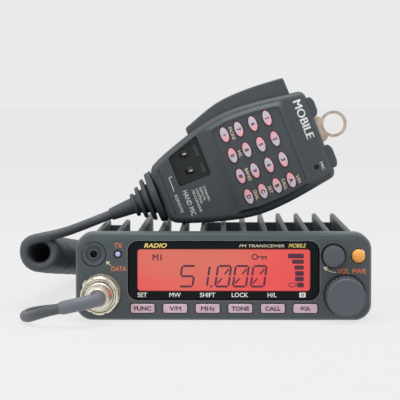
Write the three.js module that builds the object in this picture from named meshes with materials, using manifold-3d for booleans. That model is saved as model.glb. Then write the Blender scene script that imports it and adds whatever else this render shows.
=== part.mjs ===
// A mobile radio transceiver with its hand microphone and curly cord, in millimetres.
// X runs to the right of the front panel, Y from the front panel to the rear, Z up.
// The origin is the centre of the flat bottom that the radio stands on.
import * as THREE from "three";
import { mergeVertices } from "three/addons/utils/BufferGeometryUtils.js";
import Module from "manifold-3d";

const wasm = await Module();
wasm.setup();

// ---- Driving dimensions of the radio ----
const caseWidth = 142;
const caseHeight = 42;
const caseDepth = 174;
const gap = 0.3; // between pieces that touch
const panelDepth = 16;
const panelWall = 2.2;
const faceWall = 3.5; // front wall of the panel
const panelCorner = 8;
const panelBevel = 3;
const chassisInset = 4.5; // how far the chassis sides stand in from the panel sides
const chassisWall = 3;
const finHeight = 12; // the fins stand this far above the deck plate
const deckThickness = 3;
const coverThickness = 1.2;
const finCount = 13;
const finThickness = 2.7;
const finMargin = 8.2; // from the side of the panel to the outermost fin
const shortFins = 2; // the fins at the left that stop early
const shortFinLength = 97;
const postSize = 7;
const coverScrewBore = 3.2;
const bracketHole = 3.4;

// ---- Driving dimensions of the front panel's controls: centre x, centre z, size ----
const windowSize = { x: 0.1, z: 24, width: 91.4, height: 28, corner: 4.6 };
const lcdSize = { x: 0.15, z: 24.2, width: 82.5, height: 19.8 };
const windowDepth = 1.8;
const windowSink = 0.4;
const keyCount = 6;
const functionKey = { x: 0.3, z: 5.9, width: 11.5, height: 4.3, between: 4.1, proud: 1.1 };
const volume = { fromSide: 18.3, z: 31.1, diameter: 10.5, proud: 5.5, clearance: 0.75 };
const tuning = { fromSide: 12.9, z: 12.4, diameter: 18.8, proud: 14, clearance: 0.9 };
const power = { z: 31.1, diameter: 6.6, proud: 1.6, lip: 0.6 };
const lamp = { fromSide: 20.4, z: 31.9, rim: 3.5 };
const dataJack = { z: 31.9, diameter: 11.5, ring: 8.1, bore: 3.6, lip: 0.55 };
const micSocket = { fromSide: 12, z: 12.6, recess: 19.8, barrel: 14.6, bore: 12.4 };
const plug = { ringDiameter: 18.2, ringLength: 9.5, shellDiameter: 13.4, length: 21, tip: 9.4 };
const shaftDiameter = 4;
const pressTravel = 0.8;
const pressClearance = 0.3;

// ---- Driving dimensions of the rear sockets ----
const antenna = { x: 42, z: 17, flange: 25, thread: 15.8, length: 15 };
const inlet = { x: -38, z: 16, width: 22, height: 14, proud: 6 };
const speakerJack = { x: 2, z: 20, nut: 9, bore: 3.5, proud: 4 };
const speaker = { x: 0, fromRear: 47, diameter: 50 };

// ---- Driving dimensions of the microphone; u runs to its hanger ring, v to its talk bar ----
const mic = { x: 17.6, y: -20, z: 76.4, tilt: 21.5 };
const micThickness = 26;
const micWall = 2.2;
const faceDrop = 2; // the case face lies this far behind the keypad's raised field
const micOutline = [
  [34.2, 23.4],
  [7.2, 27.3],
  [-8.2, 27.9],
  [-21.8, 25.9],
  [-47.9, 17.7],
  [-54.4, 14.4],
];
const keypadField = { from: -21.7, to: 22, inner: [-17.7, 19], inset: 2.6, sink: 0.6 };
const micKey = { length: 8.2, width: 4.3, across: 11.35, along: 7.77, proud: 1.1 };
const talkBar = { from: -29.3, to: 27.2, front: 7, toBack: 5.1, inner: 21.4 };
const endButton = { front: 4, proud: 3.1, behind: 2.5 }; // behind: from its back to the seam
const upButtonSpan = [8.8, 19.2];
const downButtonSpan = [-19.2, -7];
const ring = { u: 42.8, v: 1.6, outer: 13.7, bore: 10.6, thickness: 2 };
const recess = { from: -42.9, to: -25.3, low: 0.6, depth: 3, rim: 2.6, wall: 1.4 };
const slider = { u: -34.4, diameter: 3.9, travel: 2 };
const lockSwitchV = 15.4;
const modeSwitchV = 6.3;
const soundHole = { u: 26.2, v: -15.6, diameter: 2.6 };
const bootEnd = -81.8;
const bootRadius = 13.8;
const bootStep = 1.1; // the boot's thickest rib stands in from the case's faces by this

// ---- The curly cord ----
const cordDiameter = 5;
const coilDiameter = 20;
const sleeveDiameter = 6.4;

// ---- Values worked out from the driving dimensions ----
talkBar.back = micThickness - talkBar.toBack;
endButton.depth = micThickness / 2 - endButton.front - endButton.behind;
const bootSquash = (micThickness / 2 - bootStep) / bootRadius;
const frontY = -caseDepth / 2;
const rearY = caseDepth / 2;
const chassisFront = frontY + panelDepth + gap;
const sideX = caseWidth / 2;
const chassisHalf = sideX - chassisInset;
const deckHeight = caseHeight - finHeight;
const finSpan = caseWidth - 2 * finMargin;
const innerSide = sideX - panelWall - gap;
const chassisFloor = coverThickness + gap;
const boardFront = frontY + 10;
const fitBehindFace = frontY + faceWall + gap;
const behindControls = boardFront - gap;
volume.x = sideX - volume.fromSide;
tuning.x = sideX - tuning.fromSide;
power.x = innerSide - power.diameter / 2 - power.lip;
lamp.x = lamp.fromSide - sideX;
dataJack.x = dataJack.diameter / 2 + dataJack.lip - innerSide;
micSocket.x = micSocket.fromSide - sideX;
speaker.y = rearY - speaker.fromRear;
const wellOf = (knob) => knob.diameter + 2 * knob.clearance;

const colours = {
  paint: new THREE.MeshStandardMaterial({ color: 0x3f4a4b, roughness: 0.55, metalness: 0.1 }),
  panel: new THREE.MeshStandardMaterial({ color: 0x464f53, roughness: 0.5, metalness: 0 }),
  window: new THREE.MeshStandardMaterial({ color: 0x0f191c, roughness: 0.12, metalness: 0 }),
  lcd: new THREE.MeshStandardMaterial({ color: 0xda5046, roughness: 0.3, metalness: 0 }),
  keys: new THREE.MeshStandardMaterial({ color: 0xc8aab9, roughness: 0.5, metalness: 0 }),
  amber: new THREE.MeshStandardMaterial({ color: 0xf0aa50, roughness: 0.4, metalness: 0 }),
  knob: new THREE.MeshStandardMaterial({ color: 0x4a5355, roughness: 0.5, metalness: 0 }),
  lamp: new THREE.MeshStandardMaterial({ color: 0xc4c8ee, roughness: 0.2, metalness: 0 }),
  nickel: new THREE.MeshStandardMaterial({ color: 0xebe6d7, roughness: 0.3, metalness: 1 }),
  rubber: new THREE.MeshStandardMaterial({ color: 0x5f5f69, roughness: 0.6, metalness: 0 }),
  micCase: new THREE.MeshStandardMaterial({ color: 0x485054, roughness: 0.6, metalness: 0 }),
  micKeys: new THREE.MeshStandardMaterial({ color: 0xd9a5b4, roughness: 0.5, metalness: 0 }),
  black: new THREE.MeshStandardMaterial({ color: 0x16181a, roughness: 0.5, metalness: 0 }),
  board: new THREE.MeshStandardMaterial({ color: 0x1f5a34, roughness: 0.6, metalness: 0 }),
};

// ---- Shapes ----

function roundedRectangle(x, z, width, height, corner) {
  const shape = new THREE.Shape();
  const left = x - width / 2;
  const right = x + width / 2;
  const low = z - height / 2;
  const high = z + height / 2;
  shape.moveTo(left + corner, low);
  shape.lineTo(right - corner, low);
  shape.absarc(right - corner, low + corner, corner, -Math.PI / 2, 0);
  shape.lineTo(right, high - corner);
  shape.absarc(right - corner, high - corner, corner, 0, Math.PI / 2);
  shape.lineTo(left + corner, high);
  shape.absarc(left + corner, high - corner, corner, Math.PI / 2, Math.PI);
  shape.lineTo(left, low + corner);
  shape.absarc(left + corner, low + corner, corner, Math.PI, Math.PI * 1.5);
  return shape;
}

function ellipse(x, z, width, height) {
  const shape = new THREE.Shape();
  shape.absellipse(x, z, width / 2, height / 2, 0, Math.PI * 2);
  return shape;
}

// A closed outline with each corner rounded by a curve that starts this far from it.
function roundedPolygon(points, corner) {
  const shape = new THREE.Shape();
  const at = (i) => new THREE.Vector2(...points[(i + points.length) % points.length]);
  const towards = (from, to) => {
    const reach = Math.min(corner, from.distanceTo(to) * 0.45);
    return from.clone().add(to.clone().sub(from).setLength(reach));
  };
  for (let i = 0; i < points.length; i += 1) {
    const start = towards(at(i), at(i - 1));
    const end = towards(at(i), at(i + 1));
    if (i === 0) shape.moveTo(start.x, start.y);
    else shape.lineTo(start.x, start.y);
    shape.quadraticCurveTo(at(i).x, at(i).y, end.x, end.y);
  }
  shape.closePath();
  return shape;
}

// A convex outline, drawn anticlockwise, with every side moved inwards.
function insetOutline(points, distance) {
  const sides = points.map((point, i) => {
    const a = new THREE.Vector2(...point);
    const b = new THREE.Vector2(...points[(i + 1) % points.length]);
    const along = b.clone().sub(a).normalize();
    const inward = new THREE.Vector2(-along.y, along.x).multiplyScalar(distance);
    return { start: a.add(inward), along };
  });
  return sides.map((side, i) => {
    const before = sides[(i + sides.length - 1) % sides.length];
    const across = side.start.clone().sub(before.start);
    const t = across.cross(side.along) / before.along.cross(side.along);
    const corner = before.start.clone().addScaledVector(before.along, t);
    return [corner.x, corner.y];
  });
}

// ---- Solids ----

function solidOf(geometry) {
  const bare = geometry.clone();
  bare.deleteAttribute("normal");
  bare.deleteAttribute("uv");
  const merged = mergeVertices(bare, 1e-4);
  const mesh = new wasm.Mesh({
    numProp: 3,
    vertProperties: merged.attributes.position.array,
    triVerts: new Uint32Array(merged.index.array),
  });
  return new wasm.Manifold(mesh);
}

function geometryOf(solid) {
  const mesh = solid.getMesh();
  const geometry = new THREE.BufferGeometry();
  geometry.setAttribute("position", new THREE.BufferAttribute(mesh.vertProperties, 3));
  geometry.setIndex(new THREE.BufferAttribute(mesh.triVerts, 1));
  return geometry;
}

const join = (first, ...others) => others.reduce((all, next) => all.add(next), first);
const cut = (first, ...tools) => tools.reduce((left, tool) => left.subtract(tool), first);

// A shape drawn in x and z, reaching from y0 to y1.
function slab(shape, y0, y1, segments = 4) {
  const options = { depth: y1 - y0, bevelEnabled: false, curveSegments: segments };
  const geometry = new THREE.ExtrudeGeometry(shape, options);
  return solidOf(geometry.rotateX(Math.PI / 2).translate(0, y1, 0));
}

// The same with the edge of its front end, at y0, sloped or rounded off.
function bevelledSlab(shape, y0, y1, bevel, rise, steps = 1, segments = 5) {
  const options = {
    depth: y1 - y0,
    bevelEnabled: true,
    bevelThickness: rise,
    bevelSize: bevel,
    bevelOffset: -bevel,
    bevelSegments: steps,
    curveSegments: segments,
  };
  const geometry = new THREE.ExtrudeGeometry(shape, options);
  const whole = solidOf(geometry.rotateX(Math.PI / 2).translate(0, y1 + rise, 0));
  return whole.intersect(box([-500, 500], [y0 - 1, y1], [-500, 500]));
}

function box([x0, x1], [y0, y1], [z0, z1]) {
  const geometry = new THREE.BoxGeometry(x1 - x0, y1 - y0, z1 - z0);
  geometry.translate((x0 + x1) / 2, (y0 + y1) / 2, (z0 + z1) / 2);
  return solidOf(geometry);
}

// A round solid about an axis along Y: its profile is pairs of y and radius, from front to rear.
function turned(x, z, profile, segments = 24) {
  const points = profile.map(([y, radius]) => new THREE.Vector2(radius, y));
  const first = new THREE.Vector2(0, profile[0][0]);
  const last = new THREE.Vector2(0, profile[profile.length - 1][0]);
  const geometry = new THREE.LatheGeometry([first, ...points, last], segments);
  return solidOf(geometry.translate(x, 0, z));
}

const rod = (x, z, y0, y1, diameter, segments = 24) =>
  turned(x, z, [[y0, diameter / 2], [y1, diameter / 2]], segments);

// A round rod that stands upright.
function post(x, y, z0, z1, diameter, segments = 12) {
  const geometry = new THREE.CylinderGeometry(diameter / 2, diameter / 2, z1 - z0, segments);
  return solidOf(geometry.rotateX(Math.PI / 2).translate(x, y, (z0 + z1) / 2));
}

// A round tube of one thickness along a smooth curve through the points.
function tubeAlong(points, diameter, steps, sides) {
  const path = new THREE.CatmullRomCurve3(points.map((p) => new THREE.Vector3(...p)));
  const options = {
    steps,
    bevelEnabled: false,
    extrudePath: path,
    curveSegments: sides / 2,
  };
  return new THREE.ExtrudeGeometry(ellipse(0, 0, diameter, diameter), options);
}

// ---- The tree of pieces ----

const model = new THREE.Group();
const radio = new THREE.Group();
const microphone = new THREE.Group();
microphone.position.set(mic.x, mic.y, mic.z);
microphone.rotation.y = THREE.MathUtils.degToRad(-mic.tilt);
model.add(radio, microphone);

function place(group, name, shape, material) {
  const geometry = shape.isBufferGeometry ? shape : geometryOf(shape);
  const mesh = new THREE.Mesh(geometry, material);
  mesh.name = name;
  group.add(mesh);
}

// ---- Chassis: a cast heat sink, open below ----

const finPitch = (finSpan - finThickness) / (finCount - 1);
const finX = (i) => -finSpan / 2 + finThickness / 2 + i * finPitch;
const postPlaces = [-1, 1].flatMap((side) =>
  [chassisFront + 12, rearY - 12].map((y) => [
    side * (chassisHalf - chassisWall - postSize / 2 + 0.5),
    y,
  ]),
);

function chassisSection() {
  const shape = new THREE.Shape();
  const shoulder = 2;
  const finRadius = finThickness / 2;
  shape.moveTo(-chassisHalf, chassisFloor);
  shape.lineTo(chassisHalf, chassisFloor);
  shape.lineTo(chassisHalf, deckHeight - shoulder);
  shape.lineTo(chassisHalf - shoulder, deckHeight);
  for (let i = finCount - 1; i >= 0; i -= 1) {
    const x = finX(i);
    shape.lineTo(x + finRadius, deckHeight);
    shape.lineTo(x + finRadius, caseHeight - finRadius);
    shape.absarc(x, caseHeight - finRadius, finRadius, 0, Math.PI);
    shape.lineTo(x - finRadius, deckHeight);
  }
  shape.lineTo(-chassisHalf + shoulder, deckHeight);
  shape.lineTo(-chassisHalf, deckHeight - shoulder);
  return shape;
}

function chassis() {
  const outer = slab(chassisSection(), chassisFront, rearY, 3);
  const innerHalf = chassisHalf - chassisWall;
  const inside = box(
    [-innerHalf, innerHalf],
    [chassisFront - 1, rearY - chassisWall],
    [0, deckHeight - deckThickness],
  );
  const shortFinEnd = chassisFront + shortFinLength;
  const lastShort = finX(shortFins - 1) + finThickness / 2 + 0.4;
  const step = box(
    [-chassisHalf - 1, lastShort],
    [shortFinEnd, rearY + 1],
    [deckHeight, caseHeight + 1],
  );
  const crossRib = box(
    [finX(0), finX(shortFins - 1)],
    [shortFinEnd - 3, shortFinEnd],
    [deckHeight - 1, caseHeight - 3],
  );
  const rearRib = box(
    [finX(5), finX(finCount - 1)],
    [rearY - 12, rearY - 9],
    [deckHeight - 1, caseHeight - 4.5],
  );
  const posts = postPlaces.map(([x, y]) =>
    box(
      [x - postSize / 2, x + postSize / 2],
      [y - postSize / 2, y + postSize / 2],
      [chassisFloor, deckHeight - 1],
    ),
  );
  const threads = postPlaces.map(([x, y]) => post(x, y, 0, 12, coverScrewBore - 0.7, 12));
  const bracketHoles = [-30, 30].map((y) =>
    solidOf(
      new THREE.CylinderGeometry(bracketHole / 2, bracketHole / 2, 2 * chassisHalf + 2, 16)
        .rotateZ(Math.PI / 2)
        .translate(0, y, 15),
    ),
  );
  const socketHoles = [
    rod(antenna.x, antenna.z, rearY - 6, rearY + 1, 12.6),
    box(
      [inlet.x - inlet.width / 2 + 2, inlet.x + inlet.width / 2 - 2],
      [rearY - 6, rearY + 1],
      [inlet.z - inlet.height / 2 + 2, inlet.z + inlet.height / 2 - 2],
    ),
    rod(speakerJack.x, speakerJack.z, rearY - 6, rearY + 1, 6.6),
  ];
  const shell = join(cut(outer, inside, step), crossRib, rearRib, ...posts);
  return cut(shell, ...threads, ...bracketHoles, ...socketHoles);
}

function bottomCover() {
  const plate = box([-chassisHalf, chassisHalf], [chassisFront, rearY], [0, coverThickness]);
  const holes = postPlaces.map(([x, y]) => post(x, y, -1, 3, coverScrewBore, 16));
  const slots = [];
  const slotPitch = 6;
  const grilleRadius = speaker.diameter / 2 - 3;
  for (let i = -3; i <= 3; i += 1) {
    const half = Math.sqrt(grilleRadius ** 2 - (i * slotPitch) ** 2);
    const y = speaker.y + i * slotPitch;
    slots.push(box([speaker.x - half, speaker.x + half], [y - 1.5, y + 1.5], [-1, 3]));
  }
  return cut(plate, ...holes, ...slots);
}

place(radio, "chassis", chassis(), colours.paint);
place(radio, "bottom_cover", bottomCover(), colours.paint);

// ---- Front panel ----

const keyPitch = functionKey.width + functionKey.between;
const keyX = (i) => functionKey.x + (i - (keyCount - 1) / 2) * keyPitch;

function frontPanel() {
  const outline = roundedRectangle(0, caseHeight / 2, caseWidth, caseHeight, panelCorner);
  const outer = bevelledSlab(outline, frontY, frontY + panelDepth, panelBevel, panelBevel);
  const hollow = roundedRectangle(
    0,
    caseHeight / 2,
    caseWidth - 2 * panelWall,
    caseHeight - 2 * panelWall,
    panelCorner - panelWall,
  );
  const through = [frontY - 1, frontY + faceWall + 1];
  const w = windowSize;
  const windowHole = roundedRectangle(
    w.x,
    w.z,
    w.width + 2 * gap,
    w.height + 2 * gap,
    w.corner + gap,
  );
  const tools = [
    slab(hollow, frontY + faceWall, frontY + panelDepth + 1),
    slab(windowHole, ...through),
    rod(volume.x, volume.z, ...through, wellOf(volume)),
    rod(tuning.x, tuning.z, ...through, shaftDiameter + 2),
    rod(tuning.x, tuning.z, frontY - 1, frontY + 1.4, wellOf(tuning), 28),
    rod(power.x, power.z, ...through, power.diameter + 2 * pressClearance, 16),
    rod(lamp.x, lamp.z, ...through, lamp.rim + 2 * gap, 12),
    rod(dataJack.x, dataJack.z, ...through, dataJack.diameter + 2 * gap, 20),
    rod(micSocket.x, micSocket.z, ...through, micSocket.recess, 28),
  ];
  for (let i = 0; i < keyCount; i += 1) {
    const hole = roundedRectangle(
      keyX(i),
      functionKey.z,
      functionKey.width + 2 * pressClearance,
      functionKey.height + 2 * pressClearance,
      1,
    );
    tools.push(slab(hole, ...through, 2));
  }
  return cut(outer, ...tools);
}

function displayWindow() {
  const w = windowSize;
  const y0 = frontY + windowSink;
  const frame = bevelledSlab(
    roundedRectangle(w.x, w.z, w.width, w.height, w.corner),
    y0,
    y0 + windowDepth,
    0.5,
    0.5,
  );
  const view = roundedRectangle(
    lcdSize.x,
    lcdSize.z,
    lcdSize.width + 2 * gap,
    lcdSize.height + 2 * gap,
    1,
  );
  return cut(frame, slab(view, y0 - 1, y0 + windowDepth + 1, 3));
}

function lcdPanel() {
  const l = lcdSize;
  const front = frontY + windowSink + 0.3;
  const shoulder = frontY + windowSink + windowDepth + gap;
  const glass = slab(roundedRectangle(l.x, l.z, l.width, l.height, 0.7), front, shoulder + 1, 3);
  const lightBox = box(
    [l.x - l.width / 2 - 3, l.x + l.width / 2 + 3],
    [shoulder, shoulder + 5],
    [l.z - l.height / 2 - 2.5, l.z + l.height / 2 + 2.5],
  );
  return join(glass, lightBox);
}

function functionKeyCap(i) {
  const k = functionKey;
  const cap = bevelledSlab(
    roundedRectangle(keyX(i), k.z, k.width, k.height, 1),
    frontY - k.proud,
    frontY + faceWall + 1.2,
    0.5,
    0.5,
    1,
    2,
  );
  const flange = box(
    [keyX(i) - k.width / 2 - 1, keyX(i) + k.width / 2 + 1],
    [fitBehindFace, fitBehindFace + 1.2],
    [k.z - k.height / 2 - 0.9, k.z + k.height / 2 + 0.9],
  );
  return join(cap, flange);
}

function powerButton() {
  const p = power;
  const radius = p.diameter / 2;
  const flange = radius + p.lip;
  return turned(
    p.x,
    p.z,
    [
      [frontY - p.proud, radius - 1],
      [frontY - p.proud + 0.5, radius - 0.3],
      [frontY - p.proud + 1.1, radius],
      [fitBehindFace, radius],
      [fitBehindFace, flange],
      [fitBehindFace + 1, flange],
      [fitBehindFace + 1, 1.2],
      [fitBehindFace + 3, 1.2],
    ],
    16,
  );
}

// A knob with its own shaft, which runs in the bushing of the control behind it.
function knobWithShaft(k, front, back, chamfer, shaftEnd) {
  const radius = k.diameter / 2;
  return turned(
    k.x,
    k.z,
    [
      [front, radius - chamfer],
      [front + chamfer, radius],
      [back, radius],
      [back, shaftDiameter / 2],
      [shaftEnd, shaftDiameter / 2],
    ],
    28,
  );
}

// A rotary control: a body behind the face with a blind bushing for the shaft.
function rotaryControl(k, bodyDiameter, shaftEnd) {
  const body = rod(k.x, k.z, fitBehindFace, behindControls, bodyDiameter);
  const bushing = rod(k.x, k.z, fitBehindFace - 1, shaftEnd + 0.4, shaftDiameter + 2 * gap, 16);
  return cut(body, bushing);
}

const shaftEnd = fitBehindFace + 4;

function txLamp() {
  return turned(
    lamp.x,
    lamp.z,
    [
      [frontY - 0.1, lamp.rim / 2 - 0.3],
      [frontY + 0.2, lamp.rim / 2],
      [fitBehindFace, lamp.rim / 2],
      [fitBehindFace, lamp.rim / 2 + 0.8],
      [fitBehindFace + 1, lamp.rim / 2 + 0.8],
      [fitBehindFace + 1, 1],
      [behindControls, 1],
    ],
    12,
  );
}

function dataJackBody() {
  const radius = dataJack.diameter / 2;
  const body = turned(dataJack.x, dataJack.z, [
    [frontY + 0.2, radius],
    [fitBehindFace, radius],
    [fitBehindFace, radius + dataJack.lip],
    [fitBehindFace + 1.2, radius + dataJack.lip],
    [fitBehindFace + 1.2, radius - 1.5],
    [behindControls, radius - 1.5],
  ]);
  const dish = turned(dataJack.x, dataJack.z, [
    [frontY - 1, dataJack.ring / 2 + 0.5],
    [frontY + 0.2, dataJack.ring / 2 + 0.5],
    [frontY + 1, dataJack.ring / 2 - 0.3],
  ]);
  return cut(body, dish, rod(dataJack.x, dataJack.z, frontY - 1, frontY + 8, dataJack.bore, 12));
}

const barrelFront = frontY - 3;
const socketFloor = frontY + 1.5;

// The socket: a flange behind the face, a barrel that the coupling ring goes over, and eight pins.
function micSocketBody() {
  const s = micSocket;
  const room = 2 * (innerSide + s.x);
  const flange = rod(s.x, s.z, fitBehindFace, behindControls, room, 28);
  const barrel = rod(s.x, s.z, barrelFront, fitBehindFace + 1, s.barrel, 24);
  const bore = rod(s.x, s.z, barrelFront - 1, socketFloor, s.bore, 24);
  const pins = [];
  for (let i = 0; i < 8; i += 1) {
    const angle = (i / 8) * Math.PI * 2 + 0.4;
    const x = s.x + 3.4 * Math.cos(angle);
    const z = s.z + 3.4 * Math.sin(angle);
    pins.push(rod(x, z, frontY - 0.6, socketFloor + 0.5, 1, 6));
  }
  return join(cut(join(flange, barrel), bore), ...pins);
}

place(radio, "front_panel", frontPanel(), colours.panel);
place(radio, "display_window", displayWindow(), colours.window);
place(radio, "lcd_panel", lcdPanel(), colours.lcd);
for (let i = 0; i < keyCount; i += 1) {
  place(radio, `function_key_${i + 1}`, functionKeyCap(i), colours.keys);
}
place(radio, "power_button", powerButton(), colours.amber);
const volumeFront = frontY - volume.proud;
const tuningFront = frontY - tuning.proud;
const volumeKnob = knobWithShaft(volume, volumeFront, frontY + 2.4, 0.6, shaftEnd);
const tuningKnob = knobWithShaft(tuning, tuningFront, frontY + 0.9, 0.9, shaftEnd);
place(radio, "volume_knob", volumeKnob, colours.knob);
place(radio, "tuning_knob", tuningKnob, colours.knob);
place(radio, "volume_pot", rotaryControl(volume, wellOf(volume) + 0.6, shaftEnd), colours.black);
place(radio, "tuning_encoder", rotaryControl(tuning, 13, shaftEnd), colours.black);
place(radio, "tx_lamp", txLamp(), colours.lamp);
place(radio, "data_jack", dataJackBody(), colours.black);
place(radio, "mic_socket", micSocketBody(), colours.nickel);

// ---- Boards, speaker and power module inside the chassis ----

const mainBoardTop = 15.6;

function displayBoard() {
  const half = caseWidth / 2 - panelWall - 2;
  const plate = box([-half, half], [boardFront, boardFront + 1.6], [4.5, caseHeight - 4.5]);
  const chip = box([-12, 12], [boardFront + 1.4, boardFront + 4], [14, 32]);
  const plugStrip = box([-30, 30], [boardFront + 1.4, boardFront + 5], [6, 10]);
  return join(plate, chip, plugStrip);
}

function mainBoard() {
  const half = chassisHalf - chassisWall - postSize - 1;
  const start = chassisFront + 2;
  const plate = box(
    [-half, half],
    [start, rearY - chassisWall - 3],
    [mainBoardTop - 1.6, mainBoardTop],
  );
  const low = mainBoardTop - 0.5;
  const shieldCan = box([-50, -12], [start + 29, start + 74], [low, mainBoardTop + 8]);
  const filterCan = box([12, 48], [start + 24, start + 49], [low, mainBoardTop + 6]);
  const processor = box([-8, 8], [start + 7, start + 23], [low, mainBoardTop + 2]);
  const relay = box([30, 46], [start + 70, start + 84], [low, mainBoardTop + 9]);
  const capacitors = [-40, -26].map((x) => post(x, start + 80, low, mainBoardTop + 9, 10, 16));
  return join(plate, shieldCan, filterCan, processor, relay, ...capacitors);
}

function powerModule() {
  const top = deckHeight - deckThickness - gap;
  const front = rearY - 35;
  const body = box([-33, 33], [front, front + 18], [top - 7, top]);
  const tabs = box([-40, 40], [front + 5, front + 13], [top - 2, top]);
  const legs = [-24, -12, 12, 24].map((x) =>
    box([x - 0.6, x + 0.6], [front - 4, front + 1], [top - 4.6, top - 4]),
  );
  return join(body, tabs, ...legs);
}

function loudspeaker() {
  const low = coverThickness + gap;
  const radius = speaker.diameter / 2;
  const profile = [
    [0, radius],
    [1.2, radius],
    [1.4, radius - 3],
    [6, radius * 0.55],
    [6, 11],
    [11, 11],
  ];
  const points = profile.map(([z, r]) => new THREE.Vector2(r, z));
  const geometry = new THREE.LatheGeometry(
    [new THREE.Vector2(0, 0), ...points, new THREE.Vector2(0, 11)],
    24,
  );
  return solidOf(geometry.rotateX(Math.PI / 2).translate(speaker.x, speaker.y, low));
}

place(radio, "display_board", displayBoard(), colours.board);
place(radio, "main_board", mainBoard(), colours.board);
place(radio, "power_module", powerModule(), colours.black);
place(radio, "speaker", loudspeaker(), colours.black);

// ---- Rear sockets ----

function antennaSocket() {
  const a = antenna;
  const y = rearY + gap;
  const half = a.flange / 2;
  const flange = box([a.x - half, a.x + half], [y, y + 1.6], [a.z - half, a.z + half]);
  const barrel = turned(a.x, a.z, [
    [rearY - 5, 6],
    [y + 1, 6],
    [y + 1, a.thread / 2],
    [y + a.length - 0.8, a.thread / 2],
    [y + a.length, a.thread / 2 - 0.8],
  ]);
  const mouth = rod(a.x, a.z, y + a.length - 3, y + a.length + 1, 12);
  const contact = rod(a.x, a.z, y + a.length - 12, y + a.length + 1, 3.9, 12);
  return cut(join(flange, barrel), mouth, contact);
}

function powerInlet() {
  const n = inlet;
  const y = rearY + gap;
  const body = slab(
    roundedRectangle(n.x, n.z, n.width, n.height, 1.5),
    y,
    y + n.proud,
    3,
  );
  const neck = box(
    [n.x - n.width / 2 + 2 + gap, n.x + n.width / 2 - 2 - gap],
    [rearY - 5, y + 1],
    [n.z - n.height / 2 + 2 + gap, n.z + n.height / 2 - 2 - gap],
  );
  const cavity = box(
    [n.x - n.width / 2 + 3, n.x + n.width / 2 - 3],
    [rearY - 2, y + n.proud + 1],
    [n.z - n.height / 2 + 2.7, n.z + n.height / 2 - 2.7],
  );
  const pins = [-4, 4].map((dx) =>
    box([n.x + dx - 1.2, n.x + dx + 1.2], [rearY - 3, rearY + 1.4], [n.z - 0.4, n.z + 0.4]),
  );
  return join(cut(join(body, neck), cavity), ...pins);
}

function speakerJackBody() {
  const j = speakerJack;
  const y = rearY + gap;
  const body = turned(j.x, j.z, [
    [rearY - 8, 2.9],
    [y, 2.9],
    [y, j.nut / 2],
    [y + 2, j.nut / 2],
    [y + 2, 3],
    [y + j.proud, 3],
  ]);
  return cut(body, rod(j.x, j.z, rearY - 6, y + j.proud + 1, j.bore, 12));
}

place(radio, "antenna_socket", antennaSocket(), colours.nickel);
place(radio, "dc_inlet", powerInlet(), colours.black);
place(radio, "speaker_jack", speakerJackBody(), colours.black);

// ---- Plug on the end of the cord ----

const plugFront = frontY - plug.length;
const ringRear = frontY - 0.4;

function plugShell() {
  const nose = (micSocket.bore - 2 * gap) / 2;
  const radius = plug.shellDiameter / 2;
  return turned(micSocket.x, micSocket.z, [
    [plugFront, plug.tip / 2],
    [plugFront + 4, plug.tip / 2 + 0.4],
    [plugFront + 7.5, radius],
    [barrelFront - gap, radius],
    [barrelFront - gap, nose],
    [frontY - 1, nose],
  ]);
}

function plugRing() {
  const p = plug;
  const front = ringRear - p.ringLength;
  const radius = p.ringDiameter / 2;
  const body = turned(
    micSocket.x,
    micSocket.z,
    [
      [front, radius - 0.8],
      [front + 0.8, radius],
      [ringRear, radius],
    ],
    28,
  );
  const barrelHole = micSocket.barrel + 2 * gap;
  const rearBore = rod(micSocket.x, micSocket.z, barrelFront - 0.6, frontY + 1, barrelHole);
  const frontBore = rod(
    micSocket.x,
    micSocket.z,
    front - 1,
    frontY,
    plug.shellDiameter + 2 * gap,
  );
  const notches = [];
  for (let i = 0; i < 8; i += 1) {
    const angle = (i / 8) * Math.PI * 2 + 0.35;
    const x = micSocket.x + radius * Math.cos(angle);
    const z = micSocket.z + radius * Math.sin(angle);
    notches.push(rod(x, z, front - 1, front + 5, 1.6, 5));
  }
  return cut(body, rearBore, frontBore, ...notches);
}

const sleevePoints = [
  [micSocket.x, plugFront - gap, micSocket.z],
  [micSocket.x, plugFront - 5, micSocket.z],
  [-61.2, -117.2, 12.2],
  [-67.5, -120.2, 11],
  [-76, -119, 9],
];
const leadPoints = [
  [-76.6, -118.9, 8.85],
  [-80.6, -118.1, 7.9],
  [-86.6, -113.6, 5.8],
  [-91, -106.5, 3.9],
  [-93.8, -98, 2.9],
  [-95, -87, 2.6],
  [-93, -75, 2.6],
  [-87.5, -65, 2.6],
  [-80, -56.5, 2.6],
  [-73.5, -47, 2.6],
  [-70.2, -36, 2.6],
  [-69.3, -22, 2.6],
  [-69.3, 5, 2.6],
  [-69.3, 40, 2.6],
  [-69.3, 72, 2.6],
  [-69.3, 104, 2.6],
  [-69.3, 136, 2.6],
  [-69.3, 162, 2.6],
  [-69.7, 169.5, 2.6],
  [-72.3, 173, 2.7],
  [-75.9, 174.5, 2.8],
  [-80, 174.2, 3],
];
const coilPoints = [
  [-80, 170, 10.5],
  [-81, 154, 11.2],
  [-82.5, 130, 13.2],
  [-84.4, 100, 15.9],
  [-86.5, 66, 19],
  [-88.8, 30, 22.3],
  [-90.8, -2, 25.3],
  [-92.8, -32.8, 28.4],
];
const tailPoints = [
  [-100.7, -35.2, 29.4],
  [-99.8, -36.2, 32.7],
  [-96.8, -36.9, 35.2],
  [-92.3, -37, 36.4],
  [-86, -35.4, 37.6],
  [-79.8, -29, 39],
  [-74.5, -20.5, 40.6],
  [-69.3, -11.5, 42.3],
  [-63.6, -7.4, 44.4],
  [-58.85, -7, 46.28],
];

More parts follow.
